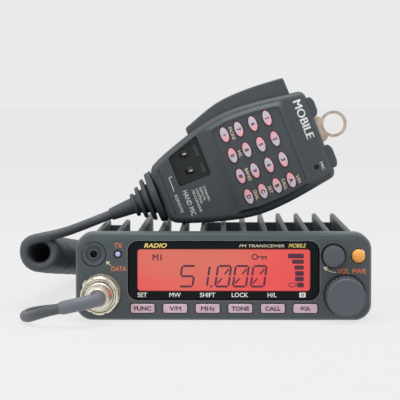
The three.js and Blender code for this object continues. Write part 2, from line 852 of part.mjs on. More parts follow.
place(radio, "plug_shell", plugShell(), colours.nickel);
place(radio, "plug_ring", plugRing(), colours.nickel);
place(radio, "plug_sleeve", tubeAlong(sleevePoints, sleeveDiameter, 10, 10), colours.rubber);
place(radio, "cord_lead", tubeAlong(leadPoints, cordDiameter, 34, 8), colours.rubber);
place(radio, "cord_coil", tubeAlong(coilPoints, coilDiameter, 10, 12), colours.rubber);
place(radio, "cord_tail", tubeAlong(tailPoints, cordDiameter, 12, 8), colours.rubber);

// ---- Microphone: local x is u, local y its thickness from the keypad face, local z is v ----

const seam = micThickness / 2;
const upperSide = micOutline.map(([u, v]) => [u, v]);
const lowerSide = micOutline.map(([u, v]) => [u, -v]).reverse();
const wholeOutline = [...upperSide, ...lowerSide];
const caseShape = roundedPolygon(wholeOutline, 3.5);
const hollowShape = roundedPolygon(insetOutline(wholeOutline, micWall), 2.5);
const keyU = (row) => (1.5 - row) * micKey.along;
const keyV = (column) => (1.5 - column) * micKey.across;
const boardFace = 8.8;

// Where the side of the case lies at this u.
function sideAt(u) {
  for (let i = 0; i + 1 < micOutline.length; i += 1) {
    const [u0, v0] = micOutline[i];
    const [u1, v1] = micOutline[i + 1];
    if (u <= u0 && u >= u1) return v0 + ((v1 - v0) * (u - u0)) / (u1 - u0);
  }
  return micOutline[0][1];
}

function fieldShape(from, to, inset, corner) {
  const stations = [to, 7.2, -8.2, from].map((u) => [u, sideAt(u) - inset]);
  const mirrored = stations.map(([u, v]) => [u, -v]).reverse();
  return roundedPolygon([...stations, ...mirrored], corner);
}

const recessOutline = (grow) => [
  [recess.from - grow, recess.low - grow],
  [recess.to + grow, recess.low - grow],
  [recess.to + grow, sideAt(recess.to) - recess.rim + grow],
  [recess.from - grow, sideAt(recess.from) - recess.rim + grow],
];

// Openings that both halves of the case share.
function sharedOpenings() {
  const t = talkBar;
  const slack = 0.5;
  const talkWindow = box(
    [t.from - slack, t.to + slack],
    [t.front - 0.4, t.back + 0.4],
    [t.inner - 4, 40],
  );
  const plateHalf = ring.thickness / 2 + gap;
  const ringSlot = box([30, 36], [seam - plateHalf, seam + plateHalf], [-5.6, 9.2]);
  const bootHole = solidOf(
    new THREE.CylinderGeometry(5.3, 5.3, 8, 24).rotateZ(Math.PI / 2).translate(-54, seam, 0),
  );
  return [talkWindow, ringSlot, bootHole];
}

function endButtonWindow([low, high]) {
  const b = endButton;
  return box(
    [29, 36],
    [b.front - pressClearance, b.front + b.depth + pressClearance],
    [low - pressClearance, high + pressClearance],
  );
}

function micFrontCase() {
  const body = bevelledSlab(caseShape, faceDrop, seam - gap / 2, 3.2, 3.6, 2, 3);
  const f = keypadField;
  const field = bevelledSlab(fieldShape(f.from, f.to, f.inset, 3), 0, 5, 2, 2, 1, 2);
  const cavity = slab(hollowShape, faceDrop + micWall, seam + 1, 2);
  const pocketWall = faceDrop + recess.depth + recess.wall;
  const pocket = slab(roundedPolygon(recessOutline(recess.wall), 2), 0, pocketWall, 2);
  const pocketHole = slab(
    roundedPolygon(recessOutline(0), 1.5),
    -1,
    faceDrop + recess.depth,
    2,
  );
  const tools = [
    cut(cavity, pocket),
    pocketHole,
    slab(fieldShape(f.inner[0], f.inner[1], f.inset + 1.6, 2), -1, f.sink, 2),
    rod(soundHole.u, soundHole.v, -1, 6, soundHole.diameter, 12),
    ...sharedOpenings(),
    endButtonWindow(upButtonSpan),
    endButtonWindow(downButtonSpan),
  ];
  for (let row = 0; row < 4; row += 1) {
    for (let column = 0; column < 4; column += 1) {
      const hole = ellipse(keyU(row), keyV(column), micKey.width + 0.6, micKey.length + 0.6);
      tools.push(slab(hole, -1, 6, 6));
    }
  }
  [lockSwitchV, modeSwitchV].forEach((v) => {
    const from = slider.u - slider.travel - 1.3;
    tools.push(box([from, slider.u + 1.3], [0, 8], [v - 1.3, v + 1.3]));
  });
  return cut(join(body, field), ...tools);
}

function micBackCase() {
  const back = seam + gap / 2;
  const depth = micThickness - back;
  const half = bevelledSlab(caseShape, 0, depth, 3.2, 4.5, 2, 3);
  const turnedRound = half.mirror([0, 1, 0]).translate([0, micThickness, 0]);
  const cavity = slab(hollowShape, back - 1, micThickness - micWall - 1, 2);
  return cut(turnedRound, cavity, ...sharedOpenings());
}

function micKeyCap(row, column) {
  const u = keyU(row);
  const v = keyV(column);
  const top = keypadField.sink - micKey.proud;
  const cap = bevelledSlab(ellipse(u, v, micKey.width, micKey.length), top, 5, 0.5, 0.5, 1, 6);
  const under = faceDrop + micWall + gap;
  const halfWidth = micKey.width / 2 + 0.8;
  const halfLength = micKey.length / 2 + 0.6;
  const flange = box(
    [u - halfWidth, u + halfWidth],
    [under, under + 1],
    [v - halfLength, v + halfLength],
  );
  return join(cap, flange);
}

function talkBarBody() {
  const t = talkBar;
  const outline = [
    [t.from, t.inner],
    [t.to, t.inner],
    [t.to, 27.6],
    [t.to - 0.3, 33.4],
    [8, 34.7],
    [-9.2, 33.8],
    [t.from, 27.5],
  ];
  return slab(roundedPolygon(outline, 1.5), t.front, t.back, 3);
}

function endButtonCap([low, high]) {
  const b = endButton;
  const wallInside = micOutline[0][0] - micWall - gap;
  const cap = new THREE.Shape();
  const top = micOutline[0][0] + b.proud;
  cap.moveTo(wallInside - 1, low);
  cap.lineTo(top - 1.6, low);
  cap.quadraticCurveTo(top, low + 0.6, top, low + 3);
  cap.lineTo(top, high - 3);
  cap.quadraticCurveTo(top, high - 0.6, top - 1.6, high);
  cap.lineTo(wallInside - 1, high);
  const body = slab(cap, b.front, b.front + b.depth, 4);
  const flange = box(
    [wallInside - 1.4, wallInside],
    [b.front + 0.4, b.front + b.depth + 0.8],
    [low - 0.6, high + 0.6],
  );
  return join(body, flange);
}

function sliderKnob(v) {
  const floor = faceDrop + recess.depth;
  const knob = rod(slider.u, v, floor - 2.2, floor - 0.3, slider.diameter, 14);
  const stem = rod(slider.u, v, floor - 0.5, floor + recess.wall + 1, 2, 8);
  const under = floor + recess.wall + gap;
  const foot = box([slider.u - 3, slider.u + 3], [under, under + 1], [v - 2.2, v + 2.2]);
  return join(knob, stem, foot);
}

function hangerRing() {
  const y0 = seam - ring.thickness / 2;
  const y1 = seam + ring.thickness / 2;
  const disc = rod(ring.u, ring.v, y0, y1, ring.outer, 24);
  const flare = new THREE.Shape();
  flare.moveTo(31, -5.2);
  flare.lineTo(35.4, -5.2);
  flare.quadraticCurveTo(37.6, -4.4, 38.4, -2.6);
  flare.lineTo(38.4, 5.6);
  flare.quadraticCurveTo(37.6, 8, 35.4, 8.8);
  flare.lineTo(31, 8.8);
  const hole = rod(ring.u, ring.v, y0 - 1, y1 + 1, ring.bore, 24);
  return cut(join(disc, slab(flare, y0, y1, 3)), hole);
}

// The moulded boot that holds the cord: four ribs that get smaller, then a sleeve.
function cordBoot() {
  const profile = [
    [bootEnd, 3.1],
    [-69.3, 4.3],
    [-69, 6],
    [-67.4, 6.2],
    [-67, 5],
    [-65.9, 5.2],
    [-65.5, 8.2],
    [-63.9, 8.6],
    [-63.5, 6.2],
    [-62.1, 6.6],
    [-61.7, 10.9],
    [-60, 11.4],
    [-59.6, 7.8],
    [-58.6, 8.2],
    [-58.2, 13],
    [-54.7, bootRadius],
    [-54.7, 5],
    [-51.9, 5],
    [-51.9, 6.4],
    [-50.6, 6.4],
  ];
  const points = profile.map(([u, r]) => new THREE.Vector2(r, u));
  const first = new THREE.Vector2(0, bootEnd);
  const last = new THREE.Vector2(0, -50.6);
  const geometry = new THREE.LatheGeometry([first, ...points, last], 20);
  return geometry.rotateZ(-Math.PI / 2).scale(1, bootSquash, 1).translate(0, seam, 0);
}

function micBoard() {
  const plate = box([-22, 27], [boardFace, boardFace + 1.6], [-20, 18.5]);
  const talkSwitch = box([2, 9], [boardFace + 1.4, boardFace + 5.4], [11, 18.5]);
  const chip = box([-14, -2], [boardFace + 1.4, boardFace + 3.6], [-8, 4]);
  return join(plate, talkSwitch, chip);
}

place(microphone, "mic_front_case", micFrontCase(), colours.micCase);
place(microphone, "mic_back_case", micBackCase(), colours.micCase);
const keyNames = [
  ["1", "2", "3", "a"],
  ["4", "5", "6", "b"],
  ["7", "8", "9", "c"],
  ["star", "0", "hash", "d"],
];
for (let row = 0; row < 4; row += 1) {
  for (let column = 0; column < 4; column += 1) {
    place(microphone, `mic_key_${keyNames[row][column]}`, micKeyCap(row, column), colours.micKeys);
  }
}
place(microphone, "ptt_bar", talkBarBody(), colours.micCase);
place(microphone, "up_button", endButtonCap(upButtonSpan), colours.micCase);
place(microphone, "down_button", endButtonCap(downButtonSpan), colours.micCase);
place(microphone, "lock_switch", sliderKnob(lockSwitchV), colours.black);
place(microphone, "mode_switch", sliderKnob(modeSwitchV), colours.black);
place(microphone, "hanger_ring", hangerRing(), colours.nickel);
place(microphone, "mic_board", micBoard(), colours.board);
const elementFace = faceDrop + micWall + gap;
const element = rod(soundHole.u, soundHole.v, elementFace, boardFace - gap, 6, 16);
place(microphone, "mic_element", element, colours.black);
place(microphone, "cord_boot", cordBoot(), colours.rubber);

export default model;
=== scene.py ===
import math

import bmesh
import bpy
from mathutils import Matrix, Vector, kdtree


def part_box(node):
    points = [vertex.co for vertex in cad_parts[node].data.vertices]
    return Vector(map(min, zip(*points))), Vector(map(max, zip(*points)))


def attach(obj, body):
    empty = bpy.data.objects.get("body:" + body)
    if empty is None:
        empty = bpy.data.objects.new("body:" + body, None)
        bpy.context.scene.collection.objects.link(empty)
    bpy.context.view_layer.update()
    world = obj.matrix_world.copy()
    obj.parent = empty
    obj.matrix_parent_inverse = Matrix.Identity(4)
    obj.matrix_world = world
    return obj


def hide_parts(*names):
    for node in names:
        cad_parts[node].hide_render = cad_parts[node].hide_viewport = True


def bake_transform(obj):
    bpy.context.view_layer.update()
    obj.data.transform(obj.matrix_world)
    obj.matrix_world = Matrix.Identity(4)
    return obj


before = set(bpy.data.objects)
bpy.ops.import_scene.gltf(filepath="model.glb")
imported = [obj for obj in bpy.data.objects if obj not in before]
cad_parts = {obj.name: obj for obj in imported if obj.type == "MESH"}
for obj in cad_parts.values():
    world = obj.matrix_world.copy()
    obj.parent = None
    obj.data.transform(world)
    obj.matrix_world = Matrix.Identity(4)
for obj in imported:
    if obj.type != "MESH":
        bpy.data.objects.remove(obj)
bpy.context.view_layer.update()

# ---- Sizes, in millimetres unless a name says otherwise ----

MM = 0.001
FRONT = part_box("front_panel")[0].y / MM  # the face of the front panel
PANEL_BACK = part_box("front_panel")[1].y / MM
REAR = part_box("chassis")[1].y / MM
WIDTH = (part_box("front_panel")[1].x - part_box("front_panel")[0].x) / MM
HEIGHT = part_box("front_panel")[1].z / MM
CASE_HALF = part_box("chassis")[1].x / MM
CASE_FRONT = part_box("chassis")[0].y / MM
CASE_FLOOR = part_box("chassis")[0].z / MM

WINDOW = {"x": 0.1, "z": 24.0, "width": 91.4, "height": 28.0, "corner": 4.6}
WINDOW_FACE = FRONT + 0.4
GLASS = {"x": 0.15, "z": 24.2, "width": 82.5, "height": 19.8}
GLASS_FACE = FRONT + 0.7
KEY = {"z": 5.9, "width": 11.5, "height": 4.3, "face": FRONT - 1.1}
MIC_TILT = math.radians(21.5)
MIC_SEAM = 13.0  # from the microphone's keypad face to the joint between its halves
MIC_DEPTH = 26.0
MIC_PLACE = Matrix.Translation((17.6, -20, 76.4)) @ Matrix.Rotation(-MIC_TILT, 4, "Y")
MIC_OUTLINE = [
    (34.2, 23.4), (7.2, 27.3), (-8.2, 27.9), (-21.8, 25.9), (-47.9, 17.7), (-54.4, 14.4),
]
MIC_KEY = {"length": 8.2, "width": 4.3, "across": 11.35, "along": 7.77, "top": -0.5}
CORD = 5.0
COIL_RADIUS = 7.5
COIL_TURNS = 39.25
LEAF = 0.06  # how far printing stands proud


def middle(node):
    """The middle of a node of the frame, in millimetres."""
    low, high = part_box(node)
    return (low + high) / (2 * MM)


def across(node):
    """The size of a node of the frame, in millimetres."""
    low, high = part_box(node)
    return (high - low) / MM


# ---- Camera ----

def make_camera():
    """A long lens from the front, a little above the case."""
    data = bpy.data.cameras.new("camera")
    data.sensor_width = 36
    data.lens = 179.0
    data.clip_start, data.clip_end = 0.05, 60
    camera = bpy.data.objects.new("camera", data)
    camera.location = (0, -1.037, 0.1042)
    camera.rotation_euler = (math.radians(87.21), 0, math.radians(0.677))
    bpy.context.collection.objects.link(camera)
    bpy.context.scene.camera = camera


make_camera()

# ---- Materials ----

class Value:
    """What varies over a surface. Arithmetic on it adds Math nodes."""

    def __init__(self, finish, socket):
        self.finish, self.socket = finish, socket

    def maths(self, operation, *numbers):
        inputs = dict(enumerate(numbers))
        return self.finish.node("ShaderNodeMath", {"operation": operation}, inputs)

    def __add__(self, other): return self.maths("ADD", self, other)
    def __radd__(self, other): return self.maths("ADD", other, self)
    def __sub__(self, other): return self.maths("SUBTRACT", self, other)
    def __rsub__(self, other): return self.maths("SUBTRACT", other, self)
    def __mul__(self, other): return self.maths("MULTIPLY", self, other)
    def __rmul__(self, other): return self.maths("MULTIPLY", other, self)
    def __truediv__(self, other): return self.maths("DIVIDE", self, other)

    def absolute(self):
        return self.maths("ABSOLUTE", self)

    def cosine(self):
        return self.maths("COSINE", self)

    def fraction(self):
        return self.maths("FRACT", self)

    def ramp(self, low, high, start=0.0, end=1.0):
        """From start to end, smoothly, as this goes from low to high."""
        inputs = {"Value": self, "From Min": low, "From Max": high, "To Min": start, "To Max": end}
        settings = {"interpolation_type": "SMOOTHSTEP"}
        return self.finish.node("ShaderNodeMapRange", settings, inputs)


class Finish:
    """A material with a Principled shader, and one method that adds any other node."""

    def __init__(self, name, roughness=0.5, metallic=0.0, **uniform):
        self.material = bpy.data.materials.new(name)
        self.material.use_nodes = True
        self.tree = self.material.node_tree
        self.shader = self.tree.nodes["Principled BSDF"]
        self.shader.inputs["Roughness"].default_value = roughness
        self.shader.inputs["Metallic"].default_value = metallic
        for key, value in uniform.items():
            label = key.replace("_", " ").title().replace("Ior", "IOR")
            self.shader.inputs[label].default_value = value
        self.place = self.node("ShaderNodeTexCoord", output="Object")

    def node(self, kind, settings=None, inputs=None, output=0):
        made = self.tree.nodes.new(kind)
        for key, value in (settings or {}).items():
            setattr(made, key, value)
        for key, value in (inputs or {}).items():
            if isinstance(value, Value):
                self.tree.links.new(value.socket, made.inputs[key])
            else:
                made.inputs[key].default_value = value
        return Value(self, made.outputs[output])

    def feed(self, name, value):
        self.tree.links.new(value.socket, self.shader.inputs[name])

    def axis(self, name):
        """One coordinate of the surface, in metres."""
        return self.node("ShaderNodeSeparateXYZ", None, {0: self.place}, name)

    def noise(self, grain, detail=2.0, place=None):
        """Noise from 0 to 1 whose grains are this many millimetres across."""
        inputs = {"Vector": place or self.place, "Scale": 1 / (grain * MM), "Detail": detail}
        return self.node("ShaderNodeTexNoise", None, inputs, "Fac")

    def mix(self, factor, a, b):
        colours = [c if isinstance(c, Value) else (*c, 1.0) for c in (a, b)]
        inputs = {0: factor, 6: colours[0], 7: colours[1]}
        return self.node("ShaderNodeMix", {"data_type": "RGBA"}, inputs, 2)

    def bump(self, height, distance):
        """Relief of so many millimetres."""
        inputs = {"Height": height, "Distance": distance * MM, "Strength": 1.0}
        self.feed("Normal", self.node("ShaderNodeBump", None, inputs))


def srgb(red, green, blue):
    """A colour that is named by its screen values, from 0 to 255."""
    shares = (channel / 255 for channel in (red, green, blue))
    return tuple(s / 12.92 if s <= 0.04045 else ((s + 0.055) / 1.055) ** 2.4 for s in shares)


def shaded(colour, factor):
    return tuple(channel * factor for channel in colour)


def moulded(name, colour, roughness, grain, relief, spread=0.1, **uniform):
    """Moulded plastic or paint: fine grain, uneven gloss and a slow drift of colour."""
    finish = Finish(name, roughness, **uniform)
    drift = finish.noise(28, 3)
    fine = finish.noise(grain, 3)
    dark, light = shaded(colour, 1 - spread), shaded(colour, 1 + spread)
    finish.feed("Base Color", finish.mix(drift * 0.7 + fine * 0.3, dark, light))
    finish.feed("Roughness", roughness + (fine - 0.5) * 0.12 + (drift - 0.5) * 0.08)
    finish.bump(fine, relief)
    return finish.material


def plated(name, colour, roughness):
    """Plated metal: faint turning marks, a clouded polish and darker spots of tarnish."""
    finish = Finish(name, roughness, 1.0)
    lines = finish.noise(0.35, 2)
    cloud = finish.noise(3, 3)
    finish.feed("Base Color", finish.mix(cloud.ramp(0.35, 0.75), colour, shaded(colour, 0.72)))
    finish.feed("Roughness", roughness + (lines - 0.5) * 0.16 + (cloud - 0.5) * 0.12)
    finish.bump(lines, 0.006)
    return finish.material


def printed(name, colour):
    """Screen printing: slightly uneven ink."""
    finish = Finish(name, 0.55)
    finish.feed("Base Color", finish.mix(finish.noise(0.5), shaded(colour, 0.88), colour))
    finish.feed("Roughness", 0.5 + finish.noise(0.8) * 0.15)
    return finish.material


def lit_glass(name):
    """The lit display: orange in the middle and the left, red to the right and the rims."""
    finish = Finish(name, 0.18, coat_weight=0.3, coat_roughness=0.08)
    low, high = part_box("lcd_panel")
    x, z = finish.axis("X"), finish.axis("Z")
    from_left = (x - low.x) / (high.x - low.x)
    from_low = (z - low.z) / (high.z - low.z)
    centre = (low + high) / 2
    side = (x - (centre.x - 0.012)).absolute().ramp(0.008, 0.036)
    deep = from_left.ramp(0.3, 1.05, 0, 0.55) + from_low.ramp(0.75, 0.05, 0, 0.5) + side * 0.3
    orange, red = srgb(206, 98, 82), srgb(222, 62, 66)
    tone = finish.mix(deep.ramp(0.0, 1.0), orange, red)
    cloudy = finish.noise(9, 2)
    tone = finish.mix(cloudy * 0.12, tone, srgb(226, 116, 96))
    finish.feed("Base Color", finish.mix(0.5, tone, (0.0, 0.0, 0.0)))
    finish.feed("Emission Color", tone)
    finish.shader.inputs["Emission Strength"].default_value = 0.62
    finish.feed("Roughness", 0.16 + finish.noise(1.5) * 0.08)
    return finish.material


def two_tone_keys(name):
    """Lilac to pink, changing over from one column of keys to the next, with red rims."""
    finish = Finish(name, 0.42)
    x, z = finish.axis("X"), finish.axis("Z")
    origin = MIC_PLACE.translation * MM
    c, s = math.cos(MIC_TILT), math.sin(MIC_TILT)
    u = (x - origin.x) * c + (z - origin.z) * s
    v = (z - origin.z) * c - (x - origin.x) * s
    column, row = MIC_KEY["across"] * MM, MIC_KEY["along"] * MM
    wave = (v * (math.pi / column)).cosine()
    pink = (0.5 - 0.5 * wave + (finish.noise(6) - 0.5) * 0.5).ramp(0.2, 1.0)
    body = finish.mix(pink, srgb(206, 200, 216), srgb(244, 178, 186))
    key_u = (u / row).fraction() - 0.5
    key_v = (v / column).fraction() - 0.5
    wide = MIC_KEY["width"] / 2 / MIC_KEY["along"]
    tall = MIC_KEY["length"] / 2 / MIC_KEY["across"]
    rim = (key_u * key_u / wide**2 + key_v * key_v / tall**2).ramp(0.74, 0.98)
    finish.feed("Base Color", finish.mix(rim, body, srgb(190, 72, 86)))
    finish.feed("Roughness", 0.4 + finish.noise(0.7) * 0.15)
    finish.bump(finish.noise(0.4), 0.008)
    return finish.material


def clouded(name, colour, roughness):
    """Translucent moulding, paler in its middle, as keys lit from behind are."""
    finish = Finish(name, roughness, coat_weight=0.15)
    cloud = finish.noise(5, 2)
    finish.feed("Base Color", finish.mix(cloud.ramp(0.3, 0.7), shaded(colour, 0.86), colour))
    finish.feed("Roughness", roughness + (finish.noise(0.5) - 0.5) * 0.14)
    finish.bump(finish.noise(0.35), 0.008)
    return finish.material


def board_green(name):
    """Circuit board: green mask with paler tracks."""
    finish = Finish(name, 0.4)
    cells = {"Vector": finish.place, "Scale": 420.0}
    tracks = finish.node("ShaderNodeTexVoronoi", {"distance": "MANHATTAN"}, cells, "Distance")
    finish.feed("Base Color", finish.mix(tracks.ramp(0.3, 0.5), srgb(20, 70, 44), srgb(36, 108, 66)))
    finish.feed("Roughness", 0.35 + finish.noise(2) * 0.2)
    return finish.material


PAINT = moulded("case_paint_dark", srgb(62, 72, 74), 0.5, 0.4, 0.02, 0.12)
PANEL = moulded("panel_slate", srgb(66, 75, 79), 0.42, 0.3, 0.012, 0.08)
MIC_CASE = moulded("microphone_slate", srgb(64, 72, 77), 0.46, 0.32, 0.016, 0.08)
KNOB = moulded("knob_grey", srgb(78, 83, 91), 0.45, 0.5, 0.012, 0.1)
BLACK = moulded("black_plastic_satin", srgb(26, 30, 32), 0.4, 0.4, 0.012, 0.15)
WINDOW_BLACK = moulded(
    "window_black", srgb(12, 20, 23), 0.25, 2.0, 0.001, 0.1, specular_ior_level=0.12,
)
# Near-black for the floor of the switch recess: painted shade standing for the recess's shadow.
RECESS_SHADE_BLACK = moulded("switch_recess_painted_shade", srgb(16, 24, 25), 0.45, 0.4, 0.01, 0.12)
CORD_GREY = moulded("cord_grey", srgb(72, 76, 82), 0.48, 1.2, 0.02, 0.1)
SLEEVE_GREY = moulded("sleeve_grey", srgb(104, 106, 116), 0.5, 1.0, 0.012, 0.08)
BOOT_GREY = moulded("boot_grey", srgb(62, 69, 73), 0.5, 0.6, 0.02, 0.1)
LILAC = clouded("lilac_keys", srgb(206, 176, 190), 0.4)
AMBER = clouded("amber_button", srgb(246, 172, 78), 0.32)
LENS = clouded("lamp_lens_pale", srgb(186, 190, 236), 0.14)
MIC_KEYS = two_tone_keys("pink_keys")
DISPLAY = lit_glass("lit_display")
SEGMENT = printed("display_marks", srgb(84, 30, 56))
FAINT_SEGMENT = printed("display_marks_faint", srgb(150, 44, 62))
WHITE_INK = printed("white_ink", srgb(236, 238, 236))
ORANGE_INK = printed("orange_ink", srgb(232, 124, 74))
GOLD_INK = printed("gold_ink", srgb(240, 214, 120))
CREAM_INK = printed("cream_ink", srgb(226, 214, 184))
DARK_INK = printed("dark_ink", srgb(72, 52, 60))
GREY_INK = printed("grey_ink", srgb(112, 120, 120))
# Pale grey for the ring round the window: a painted highlight of light caught on the frame's edge.
RIM_HIGHLIGHT = printed("painted_rim_highlight_grey", srgb(96, 106, 108))
NICKEL = plated("nickel_warm", srgb(240, 234, 218), 0.34)
STEEL = plated("ring_steel_warm", srgb(206, 190, 174), 0.34)
WHITE_PLASTIC = moulded("insulator_white", srgb(226, 224, 214), 0.4, 0.6, 0.006, 0.04)
SCREW = plated("screw_black", srgb(84, 86, 88), 0.36)
BOARD = board_green("board_green")

# ---- Shapes, drawn in x and z as seen from the front, with y as their depth ----

def rounded(bm, edges, width, steps):
    bmesh.ops.bevel(
        bm, geom=edges, offset=width, offset_type="OFFSET", affect="EDGES",
        segments=steps, profile=0.5, material=-1,
    )


def thickened(bm, front, back, edge=0, steps=3, back_edge=0):
    """Pulls the flat face in bm back from front, and rounds the edges of its two ends."""
    pulled = bmesh.ops.extrude_face_region(bm, geom=bm.faces[:])["geom"]
    far = [item for item in pulled if isinstance(item, bmesh.types.BMVert)]
    bmesh.ops.translate(bm, vec=(0, back - front, 0), verts=far)
    bmesh.ops.recalc_face_normals(bm, faces=bm.faces[:])
    for depth, width in ((front, edge), (back, back_edge)):
        if width:
            rim = [e for e in bm.edges if all(abs(v.co.y - depth) < 1e-4 for v in e.verts)]
            rounded(bm, rim, width, steps)
    return bm


def plate(points, front, back, corner=0, edge=0, steps=3, corner_steps=6, back_edge=0):
    """A flat outline with its corners rounded, thickened from front to back."""
    bm = bmesh.new()
    bm.faces.new([bm.verts.new((x, front, z)) for x, z in points])
    turns = [v for v in bm.verts if v.calc_edge_angle(0.0) > math.radians(20)]
    if corner and turns:
        bmesh.ops.bevel(
            bm, geom=turns, offset=corner, offset_type="OFFSET", affect="VERTICES",
            segments=corner_steps, profile=0.5, material=-1,
        )
    return thickened(bm, front, back, edge, steps, back_edge)


def sloped(base, back, top, front, corner):
    """A block whose sides slope from a base outline up to a smaller one, both with round corners."""
    bm = bmesh.new()
    for points, y in ((base, back), (top, front)):
        bm.faces.new([bm.verts.new((x, y, z)) for x, z in points])
    bmesh.ops.bevel(
        bm, geom=bm.verts[:], offset=corner, offset_type="OFFSET", affect="VERTICES",
        segments=6, profile=0.5, material=-1,
    )
    bmesh.ops.bridge_loops(bm, edges=bm.edges[:])
    bmesh.ops.recalc_face_normals(bm, faces=bm.faces[:])
    return bm


def rectangle(x, z, width, height):
    w, h = width / 2, height / 2
    return [(x - w, z - h), (x + w, z - h), (x + w, z + h), (x - w, z + h)]


def oval(x, z, width, height, front, back, edge=0, steps=3, sides=32):
    bm = bmesh.new()
    bmesh.ops.create_circle(bm, cap_ends=True, radius=0.5, segments=sides)
    turn = Matrix.Rotation(math.radians(90), 4, "X")
    size = Matrix.Diagonal((width, 1, height, 1))
    bmesh.ops.transform(bm, matrix=Matrix.Translation((x, front, z)) @ size @ turn, verts=bm.verts)
    return thickened(bm, front, back, edge, steps)


def block(x, y, z, edge=0, steps=2):
    """A box between the two values of each pair."""
    bm = bmesh.new()
    bmesh.ops.create_cube(bm, size=1)
    low, high = Vector((x[0], y[0], z[0])), Vector((x[1], y[1], z[1]))
    place = Matrix.Translation((low + high) / 2) @ Matrix.Diagonal((*(high - low), 1))
    bmesh.ops.transform(bm, matrix=place, verts=bm.verts)
    if edge:
        rounded(bm, bm.edges[:], edge, steps)
    return bm


def turned(profile, x=0.0, z=0.0, steps=48, ring=False):
    """A round shape about an axis along y, from pairs of y and radius. A ring joins up its ends."""
    bm = bmesh.new()
    if not ring:
        profile = [(profile[0][0], 0), *profile, (profile[-1][0], 0)]
    corners = [bm.verts.new((radius, y, 0)) for y, radius in profile]
    line = [bm.edges.new(pair) for pair in zip(corners, corners[1:])]
    if ring:
        line.append(bm.edges.new((corners[-1], corners[0])))
    bmesh.ops.spin(
        bm, geom=corners + line, cent=(0, 0, 0), axis=(0, 1, 0), dvec=(0, 0, 0),
        angle=math.tau, steps=steps, use_merge=True, use_normal_flip=False, use_duplicate=False,
    )
    bmesh.ops.remove_doubles(bm, verts=bm.verts[:], dist=1e-4)
    bmesh.ops.recalc_face_normals(bm, faces=bm.faces[:])
    bmesh.ops.translate(bm, vec=(x, 0, z), verts=bm.verts)
    return bm


def fluted(radius, depth, flutes, front, back, edge, steps=3):
    """A round knob body about the y axis, with grip flutes down its side."""
    bm = bmesh.new()
    bmesh.ops.create_circle(bm, cap_ends=True, radius=radius, segments=flutes * 4)
    for i, corner in enumerate(sorted(bm.verts, key=lambda v: math.atan2(v.co.y, v.co.x))):
        if i % 4 == 0:
            corner.co *= 1 - depth / radius
    turn = Matrix.Translation((0, front, 0)) @ Matrix.Rotation(math.radians(90), 4, "X")
    bmesh.ops.transform(bm, matrix=turn, verts=bm.verts)
    return thickened(bm, front, back, edge, steps)


def rod(x, z, front, back, diameter, steps=32):
    return turned([(front, diameter / 2), (back, diameter / 2)], x, z, steps)


def moved(bm, x=0.0, y=0.0, z=0.0):
    bmesh.ops.translate(bm, vec=(x, y, z), verts=bm.verts)
    return bm


def loose(bm):
    """A shape as an object of its own, for a modifier to use."""
    mesh = bpy.data.meshes.new("loose")
    bm.to_mesh(mesh)
    bm.free()
    obj = bpy.data.objects.new("loose", mesh)
    bpy.context.collection.objects.link(obj)
    return obj


def finished_mesh(obj):
    """A mesh of an object as its modifiers or its curve make it."""
    graph = bpy.context.evaluated_depsgraph_get()
    return bpy.data.meshes.new_from_object(obj.evaluated_get(graph))


def combined(bm, operation, tools):
    """The shape with each tool added to it or cut from it."""
    base = loose(bm)
    others = [loose(tool) for tool in tools]
    for other in others:
        step = base.modifiers.new("step", "BOOLEAN")
        step.operation, step.solver, step.object = operation, "EXACT", other
    made = finished_mesh(base)
    result = bmesh.new()
    result.from_mesh(made)
    for obj in (base, *others):
        bpy.data.meshes.remove(obj.data)
    bpy.data.meshes.remove(made)
    return result


def cut(bm, *tools):
    return combined(bm, "DIFFERENCE", tools)


def add(bm, *tools):
    return combined(bm, "UNION", tools)


def merged(parts):
    """Several shapes as one, side by side."""
    whole = bmesh.new()
    for part in parts:
        mesh = bpy.data.meshes.new("part")
        part.to_mesh(mesh)
        part.free()
        whole.from_mesh(mesh)
        bpy.data.meshes.remove(mesh)
    return whole


def piece(name, shape, body, material, slot, stands_for=(), place=None, soften=0.0, sharp=35):
    """Makes an object of a shape, or of several, that rides on a body of the frame."""
    bm = merged(shape) if isinstance(shape, list) else shape
    bmesh.ops.remove_doubles(bm, verts=bm.verts[:], dist=2e-4)
    scale = Matrix.Scale(MM, 4)
    bmesh.ops.transform(bm, matrix=scale @ place if place else scale, verts=bm.verts)
    for face in bm.faces:
        face.smooth = True
    for line in bm.edges:
        line.smooth = line.calc_face_angle(0.0) < math.radians(sharp)
    obj = loose(bm)
    obj.name = obj.data.name = name
    if soften:
        round_off = obj.modifiers.new("round_off", "BEVEL")
        round_off.width, round_off.segments = soften * MM, 2
        round_off.limit_method, round_off.angle_limit = "ANGLE", math.radians(50)
        round_off.miter_outer = "MITER_ARC"
    even = obj.modifiers.new("even", "WEIGHTED_NORMAL")
    even.keep_sharp, even.weight = True, 80
    made = finished_mesh(obj)
    obj.modifiers.clear()
    rough, obj.data = obj.data, made
    bpy.data.meshes.remove(rough)
    made.name = name
    made.materials.clear()
    made.materials.append(material)
    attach(obj, body)
    if stands_for:
        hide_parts(*stands_for)
    return obj


